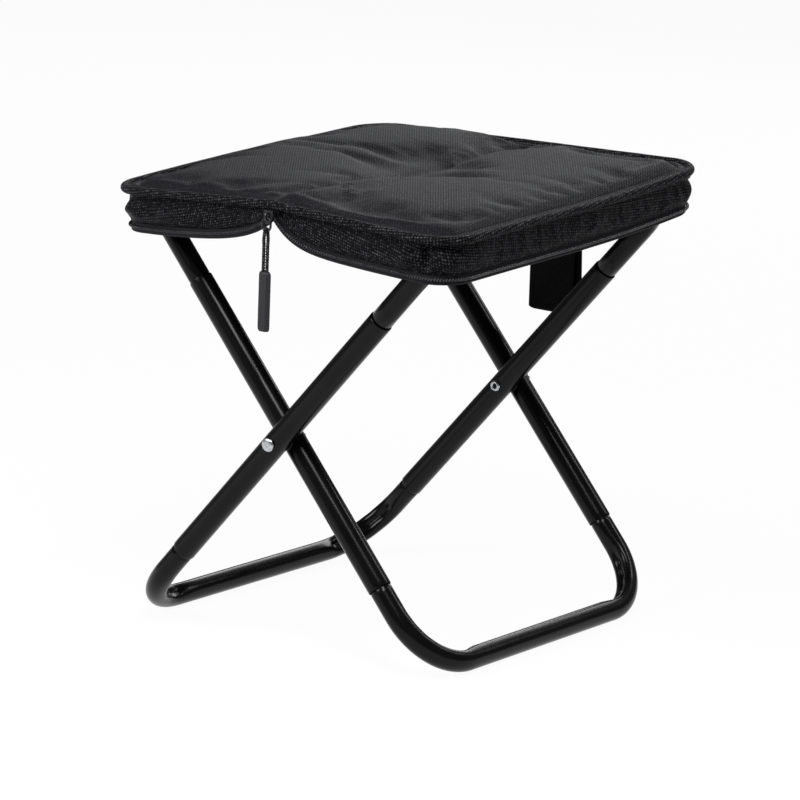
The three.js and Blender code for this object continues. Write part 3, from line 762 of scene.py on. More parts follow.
def moulded_pvc():
    # Soft PVC zip tab, moulded with a fine spark-eroded grain: matt dark grey.
    made, tree, shader = material("moulded_pvc")
    dress(tree, shader, spots(tree, 1), "#1d1d20", "#28282b", [(spots(tree, 0.4, 1), 0.04, 0.6)],
          {"Roughness": 0.5, "IOR": 1.52, "Specular IOR Level": 0.3})
    return made


def sewing_thread():
    # Bonded polyester sewing thread: slightly shiny black.
    made, tree, shader = material("sewing_thread")
    dress(tree, shader, spots(tree, 1.5), "#0a0a0b", "#17171a", [],
          {"Roughness": 0.5, "Specular IOR Level": 0.2})
    return made


def matt_white_paper():
    # Studio paper, matt white: seen as plain white, also in the coated tubes, and it keeps the shadow.
    made, tree, shader = material("matt_white_paper")
    set_inputs(tree, shader, {"Base Color": linear("#f4f4f4"), "Roughness": 0.9, "Specular IOR Level": 0.1})
    ray = add(tree, "LightPath").outputs
    seen = ray["Is Camera Ray"]
    for key in ("Is Glossy Ray", "Is Transmission Ray"):
        seen = add(tree, "Math", {0: seen, 1: ray[key]}, operation="MAXIMUM")
    share = add(tree, "Math", {0: seen, 1: FLOOR_WHITE_SHARE}, operation="MULTIPLY")
    white = add(tree, "Emission", {"Color": linear("#ffffff"), "Strength": 1.0})
    both = add(tree, "MixShader", {0: share, 1: shader, 2: white})
    set_inputs(tree, tree.nodes["Material Output"], {"Surface": both})
    return made


COATED_STEEL = gloss_coated_steel()
ZINC_STEEL = zinc_plated_steel()
NYLON = moulded_nylon()
# The second colour of each oxford is the painted glint of its raised threads.
SEAT_CLOTH = oxford_cloth("oxford_cloth_seat", "#0c0c10", "#313139", 0.55, 0.15, 1.3, 0.3)
PIPING_CLOTH = oxford_cloth("oxford_cloth_piping", "#050506", "#5c5c62", 0.5, 0.07, 1.5, 0.5, 45)
WALL_CLOTH = oxford_cloth("oxford_cloth_wall", "#020203", "#4c4c53", 0.4, 0.06, 1.4, 0.35, 45)
LINING = lining_cloth()
WEBBING = twill_webbing()
ZIP_TAPE = ribbed_zip_tape()
COIL = nylon_coil()
SLIDER_METAL = painted_zinc_alloy()
CORD = braided_polyester()
TAB = moulded_pvc()
THREAD = sewing_thread()


# Frames

def u_route(leg_end, bar_at, radius):
    """U in the plane of a frame: places (y, along the leg), the way inwards, and the dents' depth."""
    turn = math.copysign(1, bar_at - leg_end)
    straight = abs(bar_at - leg_end) - radius
    bar = 2 * (LEG_HALF - radius)
    arc = radius * math.pi / 2
    runs = [("leg", straight), ("bend", arc), ("bar", bar), ("bend", arc), ("leg", straight)]
    places, start = [], 0
    here, heading, inner = np.array([-LEG_HALF, leg_end]), np.array([0.0, turn]), np.array([1.0, 0.0])
    for kind, length in runs:
        count = max(2, round(length / (BEND_STEP if kind == "bend" else STRAIGHT_STEP)))
        for i in range(count + 1):
            share = i / count
            if kind == "bend":
                angle = share * math.pi / 2
                offset = -inner * math.cos(angle) + heading * math.sin(angle)
                place, inward = here + inner * radius + radius * offset, -offset
            else:
                place, inward = here + heading * length * share, inner
            if i or not places:
                places.append((place, inward, start + length * share))
        if kind == "bend":
            heading, inner = inner, -heading
        here = places[-1][0]
        start += length
    middles = [straight + arc / 2, straight + arc * 1.5 + bar]
    route = []
    for place, inward, along in places:
        beyond = max(0, min(abs(along - m) for m in middles) - arc * DENT_FULL_LENGTH)
        ripple = 1 + DENT_RIPPLE_SHARE * math.sin(2 * math.pi * along / DENT_RIPPLE_PITCH)
        dent = ripple * float(1 - smooth(beyond / (arc * DENT_FADE_LENGTH + DENT_RUN_OUT)))
        route.append((place, inward, dent))
    return route


def finish_leg(centres, inwards, sections):
    """Gives the first leg of a thin tube its bore and the narrow ring where it leaves the wider tube."""
    start, inward = centres[0], inwards[0]
    run = centres[1] - start
    run = run / np.linalg.norm(run)
    depths = [abs(np.dot(centre - start, run)) for centre in centres]
    after = next(i for i, depth in enumerate(depths) if depth > PUSH_IN + NECK_ROOM_AFTER)
    first = 1 + max(i for i in range(after) if depths[i] < PUSH_IN - NECK_ROOM_BEFORE)
    necks = [circle(TUBE_OD / 2 - NECK_DEPTH * share, TUBE_SIDES) for _, share in NECK_RINGS]
    centres[first:after] = [start + run * (PUSH_IN + place) for place, _ in NECK_RINGS]
    sections[first:after] = necks
    inwards[first:after] = [inward] * len(NECK_RINGS)
    centres[:0] = [start + run * END_DEPTH, start]
    sections[:0] = [circle(TUBE_OD / 2 - TUBE_WALL, TUBE_SIDES)] * 2
    inwards[:0] = [inward] * 2


def u_tube(node, lean, leg_end, bar_at, radius):
    """Thin tube bent to a U, with press dents inside its bends."""
    up = np.array([lean * LEG_SIN, 0, LEG_COS])
    across = np.array(Y_AXIS)
    face = np.array([LEG_COS, 0, -lean * LEG_SIN])
    base = np.array([0, -lean * FRAME_OFFSET, PIVOT_HEIGHT])
    angle = np.arange(TUBE_SIDES) * 2 * math.pi / TUBE_SIDES
    away = np.minimum(angle, 2 * math.pi - angle)
    valley = hump(away, DENT_ANGLE)
    shoulder = hump(away - 2 * DENT_ANGLE, SHOULDER_ANGLE)
    centres, inwards, sections = [], [], []
    for (y, s), inward, dent in u_route(leg_end, bar_at, radius):
        size = TUBE_OD / 2 * (1 - DENT_SHARE * dent * valley + SHOULDER_SHARE * dent * shoulder)
        centres.append(base + across * y + up * s)
        inwards.append(across * inward[0] + up * inward[1])
        sections.append(circle(1, TUBE_SIDES) * size[:, None])
    for _ in range(2):
        finish_leg(centres, inwards, sections)
        for rows in (centres, inwards, sections):
            rows.reverse()
    skin = loft(rings_along(centres, np.array(inwards), face, sections))
    return shown(node, [skin], [COATED_STEEL], sharp_deg=50)


def middle_tube(node, lean, y):
    """Wider straight tube, with a rolled lip at both mouths."""
    radius = MIDDLE_TUBE_OD / 2
    bore = radius - MIDDLE_TUBE_WALL
    profile = []
    for end, way in ((-BELOW_PIVOT, -1), (ABOVE_PIVOT, 1)):
        mouth = [
            (end - way * MOUTH_LENGTH, radius),
            *[(end - way * MOUTH_LIP * back, radius - MOUTH_LIP * fall) for back, fall in MOUTH_LIP_SHAPE],
            (end - way * MOUTH_EDGE, bore + MOUTH_FLARE),
            (end - way * MOUTH_DEPTH, bore),
        ]
        profile += mouth[::-1] if way < 0 else mouth
    skin = lathe(profile, (0, y, PIVOT_HEIGHT), (lean * LEG_SIN, 0, LEG_COS), closed=True)
    return shown(node, [skin], [COATED_STEEL], sharp_deg=50)


def rivet(node, side):
    """Rivet with a domed head on the outer side and a rolled, hollow end on the inner one."""
    face = FRAME_OFFSET + MIDDLE_TUBE_OD / 2 + RIVET_CLEARANCE
    head, shank = RIVET_HEAD_OD / 2, RIVET_SHANK_OD / 2
    roll, bore = RIVET_ROLL_OD / 2, RIVET_BORE_OD / 2
    bore_end = -(face + RIVET_ROLL_HEIGHT - RIVET_BORE_DEPTH)
    profile = [(bore_end, POINT_RADIUS), (bore_end, bore)]
    for i in range(ROUND_STEPS + 1):
        angle = math.pi * i / ROUND_STEPS
        profile.append((
            -(face + RIVET_ROLL_HEIGHT * math.sin(angle)),
            (bore + roll) / 2 - (roll - bore) / 2 * math.cos(angle),
        ))
    profile += [(-face, shank), (face, shank), (face, head - RIVET_HEAD_UNDERCUT)]
    for i in range(ROUND_STEPS + 1):
        angle = math.pi / 2 * i / ROUND_STEPS
        profile.append((
            face + RIVET_HEAD_RIM + (RIVET_HEAD_HEIGHT - RIVET_HEAD_RIM) * math.sin(angle),
            max(POINT_RADIUS, head * math.cos(angle) ** RIVET_HEAD_FULLNESS),
        ))
    turned = lathe(profile, (0, side * LEG_HALF, PIVOT_HEIGHT), (0, side, 0))
    return shown(node, [turned], [ZINC_STEEL])


def washer(node, side):
    outer, inner = WASHER_OD / 2, RIVET_SHANK_OD / 2 + WASHER_CLEARANCE
    half, soft = WASHER_THICKNESS / 2, WASHER_THICKNESS / 4
    profile = [(-half, inner), (-half, outer - soft), (-soft, outer), (soft, outer), (half, outer - soft),
               (half, inner)]
    turned = lathe(profile, (0, side * LEG_HALF, PIVOT_HEIGHT), Y_AXIS)
    return shown(node, [turned], [NYLON])


def build_frames():
    for label, lean in (("front", -1), ("rear", 1)):
        lower_end, upper_end = PUSH_IN - BELOW_PIVOT, ABOVE_PIVOT - PUSH_IN
        foot = u_tube(f"{label}_foot_tube", lean, lower_end, -FOOT_DROP, FOOT_BEND_RADIUS)
        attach(foot, f"{label}_foot")
        upper = u_tube(f"{label}_seat_tube", lean, upper_end, BAR_RISE, SEAT_BEND_RADIUS)
        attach(upper, f"{label}_frame")
        for word, side in (("near", -1), ("far", 1)):
            y = -lean * FRAME_OFFSET + side * LEG_HALF
            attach(middle_tube(f"{label}_middle_tube_{word}", lean, y), f"{label}_frame")
    for word, side in (("near", -1), ("far", 1)):
        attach(rivet(f"pivot_rivet_{word}", side), "front_frame")
        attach(washer(f"pivot_washer_{word}", side), "front_frame")


# Seat

def rim_route(inset, step=RIM_STEP):
    """Closed outline of the seat, from the -Y end of the crease and on round +X: places and normals."""
    reach_x, reach_y = SEAT_HALF_X - inset, SEAT_HALF_Y - inset
    corner = SEAT_CORNER_RADIUS - inset
    corner_steps = max(3, round(corner * math.pi / 2 / step))
    places, normals = [], []
    for nx, ny, half in ((0, -1, reach_x), (1, 0, reach_y), (0, 1, reach_x), (-1, 0, reach_y)):
        run = half - corner
        start = np.array([nx * reach_x, ny * reach_y], float)
        way = np.array([-ny, nx], float)
        for along in np.linspace(-run, run, max(2, round(2 * run / step)))[:-1]:
            places.append(start + way * along)
            normals.append((nx, ny))
        pivot = start + way * run - np.array([nx, ny]) * corner
        for i in range(corner_steps):
            angle = math.pi / 2 * i / corner_steps
            normal = np.array([nx, ny]) * math.cos(angle) + way * math.sin(angle)
            places.append(pivot + normal * corner)
            normals.append(tuple(normal))
    places, normals = np.array(places), np.array(normals)
    first = int(np.argmin(np.hypot(places[:, 0], places[:, 1] + reach_y)))
    return np.roll(places, -first, axis=0), np.roll(normals, -first, axis=0)


def half_route(half, inset, step):
    """The part of the outline on one side of the crease, from its -Y end to its +Y end: places,
    normals and distances from the crease."""
    places, normals = rim_route(inset, step)
    keep = places[:, 0] > CREASE_SKIP
    ends = np.array([[WALL_GAP / 2, -(SEAT_HALF_Y - inset)], [WALL_GAP / 2, SEAT_HALF_Y - inset]])
    places = np.concatenate([ends[:1], places[keep], ends[1:]])
    normals = np.concatenate([[(0, -1)], normals[keep], [(0, 1)]])
    turned = np.array([half, 1])
    return places * turned, normals * turned, places[:, 0]


def settle(x, y):
    """Height of the soft rim over its level place: the far side stands up, the near corners hang."""
    side = np.clip(x / SEAT_HALF_X, -1, 1)
    far = np.clip(y / SEAT_HALF_Y, 0, 1) ** FAR_CURVE
    near = np.clip((NEAR_START - y) / (SEAT_HALF_Y + NEAR_START), 0, 1) ** NEAR_CURVE
    return (FAR_RISE + FAR_TILT * side) * far - (NEAR_FALL - NEAR_TILT * side) * np.abs(side) * near


def lifted(points):
    """Points with the rim's rise and fall added."""
    points = np.array(points, float)
    points[..., 2] += settle(points[..., 0], points[..., 1])
    return points


def rim_distance(x, y):
    over_x = np.abs(x) - (SEAT_HALF_X - SEAT_CORNER_RADIUS)
    over_y = np.abs(y) - (SEAT_HALF_Y - SEAT_CORNER_RADIUS)
    corner = SEAT_CORNER_RADIUS - np.hypot(np.maximum(over_x, 0), np.maximum(over_y, 0))
    straight = SEAT_CORNER_RADIUS - np.maximum(over_x, over_y)
    return np.where((over_x > 0) & (over_y > 0), corner, straight)


def band_tightness(x, y):
    """1 where the padding swells out over the flat band and hides it: near edge and far left edge."""
    near = smooth((-y - TIGHT_START) / TIGHT_FADE)
    near = near * smooth((TIGHT_NEAR_REACH - np.abs(x - TIGHT_NEAR_X)) / TIGHT_END_FADE)
    left = smooth((-x - TIGHT_START) / TIGHT_FADE)
    left = left * smooth((y - TIGHT_LEFT_START_Y) / TIGHT_LEFT_START_FADE)
    left = left * smooth((TIGHT_LEFT_END_Y - y) / TIGHT_END_FADE)
    return np.maximum(near, left)


def crown(x, y):
    """Bulge of each half's padding."""
    across = np.clip(np.sin(math.pi * np.clip(np.abs(x) / SEAT_HALF_X, 0, 1)), 0, 1)
    along = np.clip(np.cos(math.pi / 2 * np.clip(y / SEAT_HALF_Y, -1, 1)), 0, 1)
    height = np.where(x < 0, LEFT_CROWN, RIGHT_CROWN)
    return height * across ** CROWN_FULLNESS_ACROSS * along ** CROWN_FULLNESS_ALONG


def crease_height(x, y):
    """Height of the ridge, the valley and the dip along the crease."""
    share = np.clip((y / SEAT_HALF_Y + 1) / 2, 0, 1)
    ridge = CREASE_RIDGE * (1 - CREASE_RIDGE_FADE * share)
    ridge = ridge * hump(x - CREASE_RIDGE_X * (1 - share), CREASE_RIDGE_WIDTH)
    valley = CREASE_VALLEY * (CREASE_VALLEY_NEAR_SHARE + (1 - CREASE_VALLEY_NEAR_SHARE) * share)
    valley = valley * hump(x - CREASE_VALLEY_X * (1 - share), CREASE_VALLEY_WIDTH)
    dip = CREASE_VALLEY * smooth((share - CREASE_DIP_START) / (1 - CREASE_DIP_START))
    return ridge - valley - dip * hump(x - CREASE_DIP_X, CREASE_DIP_WIDTH)


def pad_top(x, y, slack):
    """Height of the seat's top. The slack is what the settled cloth adds over the foam."""
    inward = rim_distance(x, y)
    tight = band_tightness(x, y)
    band = BAND_WIDTH + (TIGHT_BAND_WIDTH - BAND_WIDTH) * tight
    rise = smooth((inward - band) / (PAD_RISE_RUN + (TIGHT_RISE_RUN - PAD_RISE_RUN) * tight))
    swell = FAR_LEFT_SWELL * hump(x - SWELL_X, SWELL_WIDTH) * smooth((y - SWELL_START_Y) / SWELL_RUN)
    groove = BAND_GROOVE * (1 - tight) * hump(inward - BAND_WIDTH, BAND_GROOVE_WIDTH)
    moat = MOAT_DEPTH * (1 - MOAT_TIGHT_LOSS * tight) * hump(inward - MOAT_INSET, MOAT_WIDTH)
    slope = (BAND_HEIGHT - PIPING_OD / 2) * smooth((inward - EDGE_INSET) / EDGE_RUN)
    edge = UNDERSIDE + PIPING_OD / 2 + slope
    raised = PAD_RISE + crown(x, y) + crease_height(x, y) + swell + slack
    return edge - moat + rise * raised - groove + settle(x, y)


def pad_bottom(x, y):
    """Level over the sleeves, so only its outermost strip follows the rim down."""
    follow = 1 - smooth((rim_distance(x, y) - EDGE_INSET) / (LEVEL_INSET - EDGE_INSET))
    moved = settle(x, y)
    lift = CREASE_LIFT * hump(x, CREASE_LIFT_WIDTH)
    return UNDERSIDE + PAD_CLEARANCE + lift + np.where(moved < 0, moved * follow, moved * PAD_FOLLOW)


def relax(points, faces, pinned, pressure, cap, gravity=0.0):
    """Lets a slack sheet settle as cloth between its pinned points, and gives its points back.
    No point moves further than cap."""
    points = np.asarray(points, float)
    mesh = bpy.data.meshes.new("settling")
    mesh.from_pydata((points * MM).tolist(), [], faces)
    made = new_object("settling", mesh)
    group = made.vertex_groups.new(name="pinned")
    group.add([int(i) for i in np.flatnonzero(pinned)], 1.0, "REPLACE")
    cloth = made.modifiers.new("Cloth", "CLOTH")
    settings = cloth.settings
    for name, value in CLOTH.items():
        setattr(settings, name, value)
    settings.vertex_group_mass = "pinned"
    settings.use_pressure = True
    settings.uniform_pressure_force = pressure
    settings.effector_weights.gravity = gravity
    cloth.point_cache.frame_start = 1
    cloth.point_cache.frame_end = SIM_FRAMES
    for step in range(1, SIM_FRAMES + 1):
        bpy.context.scene.frame_set(step)
    evaluated = made.evaluated_get(bpy.context.evaluated_depsgraph_get())
    settled = np.array([v.co for v in evaluated.data.vertices], float) / MM
    bpy.data.objects.remove(made)
    bpy.context.scene.frame_set(1)
    moved = settled - points
    far = np.linalg.norm(moved, axis=1, keepdims=True)
    return points + moved * (cap * np.tanh(far / cap) / np.maximum(far, TINY))


def grid_faces(columns, rows):
    return [
        (i * rows + j, (i + 1) * rows + j, (i + 1) * rows + j + 1, i * rows + j + 1)
        for i in range(columns - 1) for j in range(rows - 1)
    ]


def to_round_corners(x, y):
    """Moves places of a square grid so that its outer lines follow the seat's round corners."""
    inner_x, inner_y = SEAT_HALF_X - SEAT_CORNER_RADIUS, SEAT_HALF_Y - SEAT_CORNER_RADIUS
    over_x, over_y = np.abs(x) - inner_x, np.abs(y) - inner_y
    corner = (over_x > 0) & (over_y > 0)
    scale = np.maximum(over_x, over_y) / np.maximum(np.hypot(over_x, over_y), TINY)
    return (np.where(corner, np.sign(x) * (inner_x + over_x * scale), x),
            np.where(corner, np.sign(y) * (inner_y + over_y * scale), y))


def pad_slack():
    """Height that the settled cloth adds over the foam, as a grid of heights and its axes."""
    xs = np.arange(-SEAT_HALF_X + BAND_WIDTH, SEAT_HALF_X - BAND_WIDTH + 1, PAD_GRID)
    ys = np.arange(-SEAT_HALF_Y + BAND_WIDTH, SEAT_HALF_Y - BAND_WIDTH + 1, PAD_GRID)
    x, y = np.meshgrid(xs, ys, indexing="ij")
    flat = np.stack([x, y, pad_top(x, y, 0)], axis=-1).reshape(-1, 3)
    edge = (rim_distance(x, y) < BAND_WIDTH + PAD_GRID).ravel()
    seam = (np.abs(x) < PAD_GRID / 2).ravel() & (np.abs(y).ravel() > SEAT_HALF_Y / 3)
    settled = relax(flat, grid_faces(len(xs), len(ys)), edge | seam, PAD_PRESSURE, PAD_SETTLE_CAP)
    return xs, ys, (settled - flat)[:, 2].reshape(len(xs), len(ys))


def sampled(xs, ys, heights, x, y):
    """Heights of a regular grid at other places, softly interpolated."""
    fx = np.clip((x - xs[0]) / (xs[1] - xs[0]), 0, len(xs) - 1.001)
    fy = np.clip((y - ys[0]) / (ys[1] - ys[0]), 0, len(ys) - 1.001)
    i, j = fx.astype(int), fy.astype(int)
    u, v = smooth(fx - i), smooth(fy - j)
    low = heights[i, j] * (1 - u) + heights[i + 1, j] * u
    high = heights[i, j + 1] * (1 - u) + heights[i + 1, j + 1] * u
    return low * (1 - v) + high * v


def pad_axis(half, crease_steps):
    """Grid lines across the pad, close together where its surface turns."""
    outer = [half - inset for inset in PAD_INSETS]
    inner = list(crease_steps)
    count = round((outer[-1] - inner[-1]) / PAD_STEP)
    between = list(np.linspace(inner[-1], outer[-1], count + 1)[1:-1])
    side = inner + between + outer[::-1]
    return np.array([-v for v in side[:0:-1]] + side)


def build_pad():
    xs = pad_axis(SEAT_HALF_X, CREASE_STEPS)
    ys = pad_axis(SEAT_HALF_Y, (0, PAD_STEP))
    x, y = to_round_corners(*np.meshgrid(xs, ys, indexing="ij"))
    slack = sampled(*pad_slack(), x, y)
    top = np.stack([x, y, pad_top(x, y, slack)], axis=-1)
    bottom = np.stack([x, y, np.minimum(pad_bottom(x, y), top[..., 2] - PAD_LEAST)], axis=-1)
    columns, rows = x.shape
    faces = grid_faces(columns, rows)
    count = columns * rows
    places = [tuple((x.flat[i], y.flat[i]) for i in face) for face in faces]
    border = [
        *[(i, 0) for i in range(columns - 1)], *[(columns - 1, j) for j in range(rows - 1)],
        *[(i, rows - 1) for i in range(columns - 1, 0, -1)], *[(0, j) for j in range(rows - 1, 0, -1)],
    ]
    loop = [i * rows + j for i, j in border]
    walls = [(a, b, b + count, a + count) for a, b in zip(loop, loop[1:] + loop[:1])]
    skin = {
        "points": np.concatenate([top.reshape(-1, 3), bottom.reshape(-1, 3)]),
        "faces": faces + walls + [tuple(count + i for i in face[::-1]) for face in faces],
        "places": places + [((0, 0), (1, 0), (1, 1), (0, 1))] * len(walls)
        + [place[::-1] for place in places],
        "slot": 0,
    }
    made = piece("seat_pad", [skin], [SEAT_CLOTH, LINING], sharp_deg=60)
    under = [0] * (len(faces) + len(walls)) + [1] * len(faces)
    made.data.polygons.foreach_set("material_index", under)
    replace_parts(made, "seat_panel_left", "seat_panel_right")
    return made


def build_piping():
    """Corded edge all round the seat, slightly uneven."""
    places, normals = rim_route(PIPING_OD / 2)
    height = UNDERSIDE + PIPING_OD / 2 + settle(places[:, 0], places[:, 1])
    uneven = [
        1 + PIPING_SWELL * noise.noise(Vector((px, py, 0)) * PIPING_SWELL_PER_MM)
        + PIPING_LUMPS * noise.noise(Vector((px, py, PIPING_LUMPS_LAYER)) * PIPING_LUMPS_PER_MM)
        for px, py in places
    ]
    sections = [circle(PIPING_OD / 2 * size, PIPING_SIDES) for size in uneven]
    rings = rings_along(np.column_stack([places, height]), level(normals), Z_AXIS, sections)
    made = piece("seat_piping", [loft(rings, closed=True)], [PIPING_CLOTH], sharp_deg=60)
    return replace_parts(made, "piping_left", "piping_right")


def build_band_stitches():
    places, _ = rim_route(STITCH_INSET)
    line = np.column_stack([places, pad_top(places[:, 0], places[:, 1], 0)])
    return piece("seat_band_stitches", stitches(line, Z_AXIS, slot=0), [THREAD])


def crease_blend(made):
    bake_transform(made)


# Bag walls and zip

def band_depth(half, from_crease):
    return CREASE_DEPTH + (BAG_DEPTH - CREASE_DEPTH) * (1 - np.exp(-from_crease / TAPERS[half]))


def zip_out(half, places, from_crease):
    """Outward place of a zip: flared beside the crease, tucked in round the left half's outer side."""
    flare = ZIP_FLARE * np.exp(-from_crease / ZIP_FLARE_REACH)
    if half > 0:
        return flare
    tuck = smooth((LEFT_TUCK_START_X - places[:, 0]) / LEFT_TUCK_RUN)
    return flare - LEFT_TUCK * tuck * (1 - smooth((places[:, 1] - LEFT_TUCK_END_Y) / LEFT_TUCK_END_RUN))


def wall_folds(half, along, share):
    """Outward places of the folds in a wall, at one share of its height."""
    total = 0
    for place, lean, width, depth, middle, reach in FOLDS[half]:
        line = place + lean * (share - 0.5)
        total = total + depth * hump(along - line, width) * hump(share - middle, reach)
    return total * math.sin(math.pi * min(max(share, 0), 1)) ** 0.5


def gusset_skin(made):
    """Gives a wall's sheet its thickness and smooths it."""
    thick = made.modifiers.new("Thick", "SOLIDIFY")
    thick.thickness = WALL_THICKNESS * MM
    thick.offset = 0
    made.modifiers.new("Finer", "SUBSURF").levels = 1
    evaluated = made.evaluated_get(bpy.context.evaluated_depsgraph_get())
    mesh = bpy.data.meshes.new_from_object(evaluated)
    made.modifiers.clear()
    made.data = mesh


def build_gusset(half):
    """Soft wall of one half of the bag, and the stitched hem along its foot."""
    label = SIDES[half]
    places, normals, from_crease = half_route(half, WALL_INSET, WALL_STEP)
    top = UNDERSIDE + WALL_TUCK
    bottom = UNDERSIDE - band_depth(half, from_crease) + ZIP_BAND
    foot = zip_out(half, places, from_crease) - WALL_LEAN
    deep = np.clip(band_depth(half, from_crease) / BAG_DEPTH, 0, 1)
    flat = np.zeros((len(places), WALL_ROWS, 3))
    along = lengths_along(places)
    facing_y = normals[:, 1] ** 2
    for k, share in enumerate(np.linspace(0, 1, WALL_ROWS)):
        belly = WALL_BELLY * smooth(share / BELLY_START) * math.sin(math.pi * share) ** BELLY_FULLNESS
        belly = belly * (BELLY_LEAST + (1 - BELLY_LEAST) * facing_y)
        hollow = WALL_HOLLOW * hump(share - HOLLOW_PLACE, HOLLOW_REACH)
        hollow = hollow * (HOLLOW_LEAST + (1 - HOLLOW_LEAST) * facing_y)
        out = foot * share + deep * (belly - hollow + wall_folds(half, along, share))
        flat[:, k, :2] = places + normals * out[:, None]
        flat[:, k, 2] = top + (bottom - top) * share
    flat = lifted(flat)
    pinned = np.zeros((len(places), WALL_ROWS), bool)
    pinned[:, 0] = pinned[:, -1] = pinned[0] = pinned[-1] = True
    settled = relax(
        flat.reshape(-1, 3), grid_faces(len(places), WALL_ROWS), pinned.ravel(),
        -half * WALL_PRESSURE, WALL_SETTLE_CAP, WALL_GRAVITY,
    ).reshape(flat.shape)
    sheet = loft(settled, around=False)
    wall = piece(f"gusset_{label}_shown", [sheet], [WALL_CLOTH], sharp_deg=180)
    gusset_skin(wall)
    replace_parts(wall, f"gusset_{label}")

    outward = level(normals)
    centres = settled[:, -1] + outward * HEM_OUT + np.array([0, 0, HEM_HEIGHT / 2 - HEM_DROP])
    section = rounded_box(HEM_THICKNESS, HEM_HEIGHT, HEM_ROUND)
    hem = loft(rings_along(centres, outward, Z_AXIS, section))
    seam = stitches(centres + outward * (HEM_THICKNESS / 2), outward)
    return [wall, piece(f"gusset_hem_{label}", [hem, *seam], [WALL_CLOTH, THREAD])]


def build_zip(half):
    """Zip tape with its beaded edge, and the coil sewn along it."""
    label = SIDES[half]
    places, normals, from_crease = half_route(half, WALL_INSET + WALL_LEAN, WALL_STEP)
    outward = level(normals)
    low = UNDERSIDE - band_depth(half, from_crease)
    flare = zip_out(half, places, from_crease)
    thickness, height = ZIP_TAPE_THICKNESS, ZIP_BAND - WALL_GAP
    out = flare - ZIP_TAPE_BACK + thickness / 2
    centres = lifted(np.column_stack([places, low + height / 2]) + outward * out[:, None])
    cloth = rounded_box(thickness * ZIP_CLOTH_SHARE, height, thickness * ZIP_ROUND_SHARE)
    bead = rounded_box(thickness, ZIP_BEAD_HEIGHT, ZIP_BEAD_ROUND)
    bead_centres = centres - np.array([0, 0, (height - ZIP_BEAD_HEIGHT) / 2])
    parts = [loft(rings_along(centres, outward, Z_AXIS, cloth)),
             loft(rings_along(bead_centres, outward, Z_AXIS, bead))]
    tape = shown(f"zip_tape_{label}", parts, [ZIP_TAPE])

    reach = flare + thickness - ZIP_TAPE_BACK + WALL_GAP + COIL_HALF_DEPTH
    line = np.column_stack([places, low + COIL_HEIGHT_SHARE * ZIP_BAND])
    line = lifted(line + outward * reach[:, None])
    along = lengths_along(line)
    where = np.linspace(0, along[-1], int(along[-1] / COIL_PITCH) * COIL_STEPS + 1)
    turn = 2 * math.pi * where / COIL_PITCH
    path = at(where, along, line) + at(where, along, outward) * (COIL_HALF_DEPTH * np.cos(turn))[:, None]
    path[:, 2] += COIL_HALF_HEIGHT * np.sin(turn)
    run = tangents(path)
    side = np.cross(run, Z_AXIS)
    side /= np.linalg.norm(side, axis=1, keepdims=True)
    wire = loft(rings_along(path, side, np.cross(side, run), circle(COIL_WIRE, COIL_SIDES)))
    return [tape, shown(f"zip_coil_{label}", [wire], [COIL], sharp_deg=80)]


def sleeve_flange(x, ys):
    """Flat seam allowance beside a sleeve, up under the pad, and the stitches that hold it."""
    probes = x + np.array(FLANGE_PROBES)[:, None]
    below_pad = pad_top(probes, ys, 0).min(axis=0) - PAD_LEAST - FLANGE_THICKNESS
    heights = np.minimum(BAR_HEIGHT + SLEEVE_OD / 2 - FLANGE_DROP, below_pad)
    line = np.column_stack([np.full(len(ys), x), ys, heights])
    section = rounded_box(FLANGE_WIDTH, FLANGE_THICKNESS, FLANGE_ROUND)
    seam = line - np.array([0, 0, FLANGE_THICKNESS / 2])
    return [loft(rings_along(line, X_AXIS, Z_AXIS, section)), *stitches(seam, (0, 0, -1))]


def build_sleeve(half):
    """Cloth sleeve round the upper bar, a little uneven, with a flange on each side."""
    length = 2 * (LEG_HALF - SEAT_BEND_RADIUS - SLEEVE_END_GAP)
    ys = -half * FRAME_OFFSET + np.linspace(-length / 2, length / 2, SLEEVE_ROWS)
    around = circle(1, SLEEVE_SIDES)
    bore = around * (SLEEVE_OD / 2 - SLEEVE_WALL)
    sections = []
    for y in ys:
        size = [
            SLEEVE_OD / 2 - SLEEVE_UNEVEN
            + SLEEVE_UNEVEN * noise.noise(Vector((a * 2, y * SLEEVE_UNEVEN_PER_MM, b * 2)))
            for a, b in around
        ]
        sections.append(around * np.array(size)[:, None])
    sections = [bore, bore, *sections, bore, bore]
    places = [ys[0] + SLEEVE_BORE_DEPTH, ys[0], *ys, ys[-1], ys[-1] - SLEEVE_BORE_DEPTH]
    centres = [(half * BAR_REACH, y, BAR_HEIGHT) for y in places]
    parts = [loft(rings_along(centres, X_AXIS, Z_AXIS, sections))]
    for way in (-1, 1):
        parts += sleeve_flange(half * BAR_REACH + way * (FLANGE_WIDTH / 2 + FLANGE_START), ys)
    return shown(f"bar_sleeve_{SIDES[half]}", parts, [LINING, THREAD])


# Zip pull

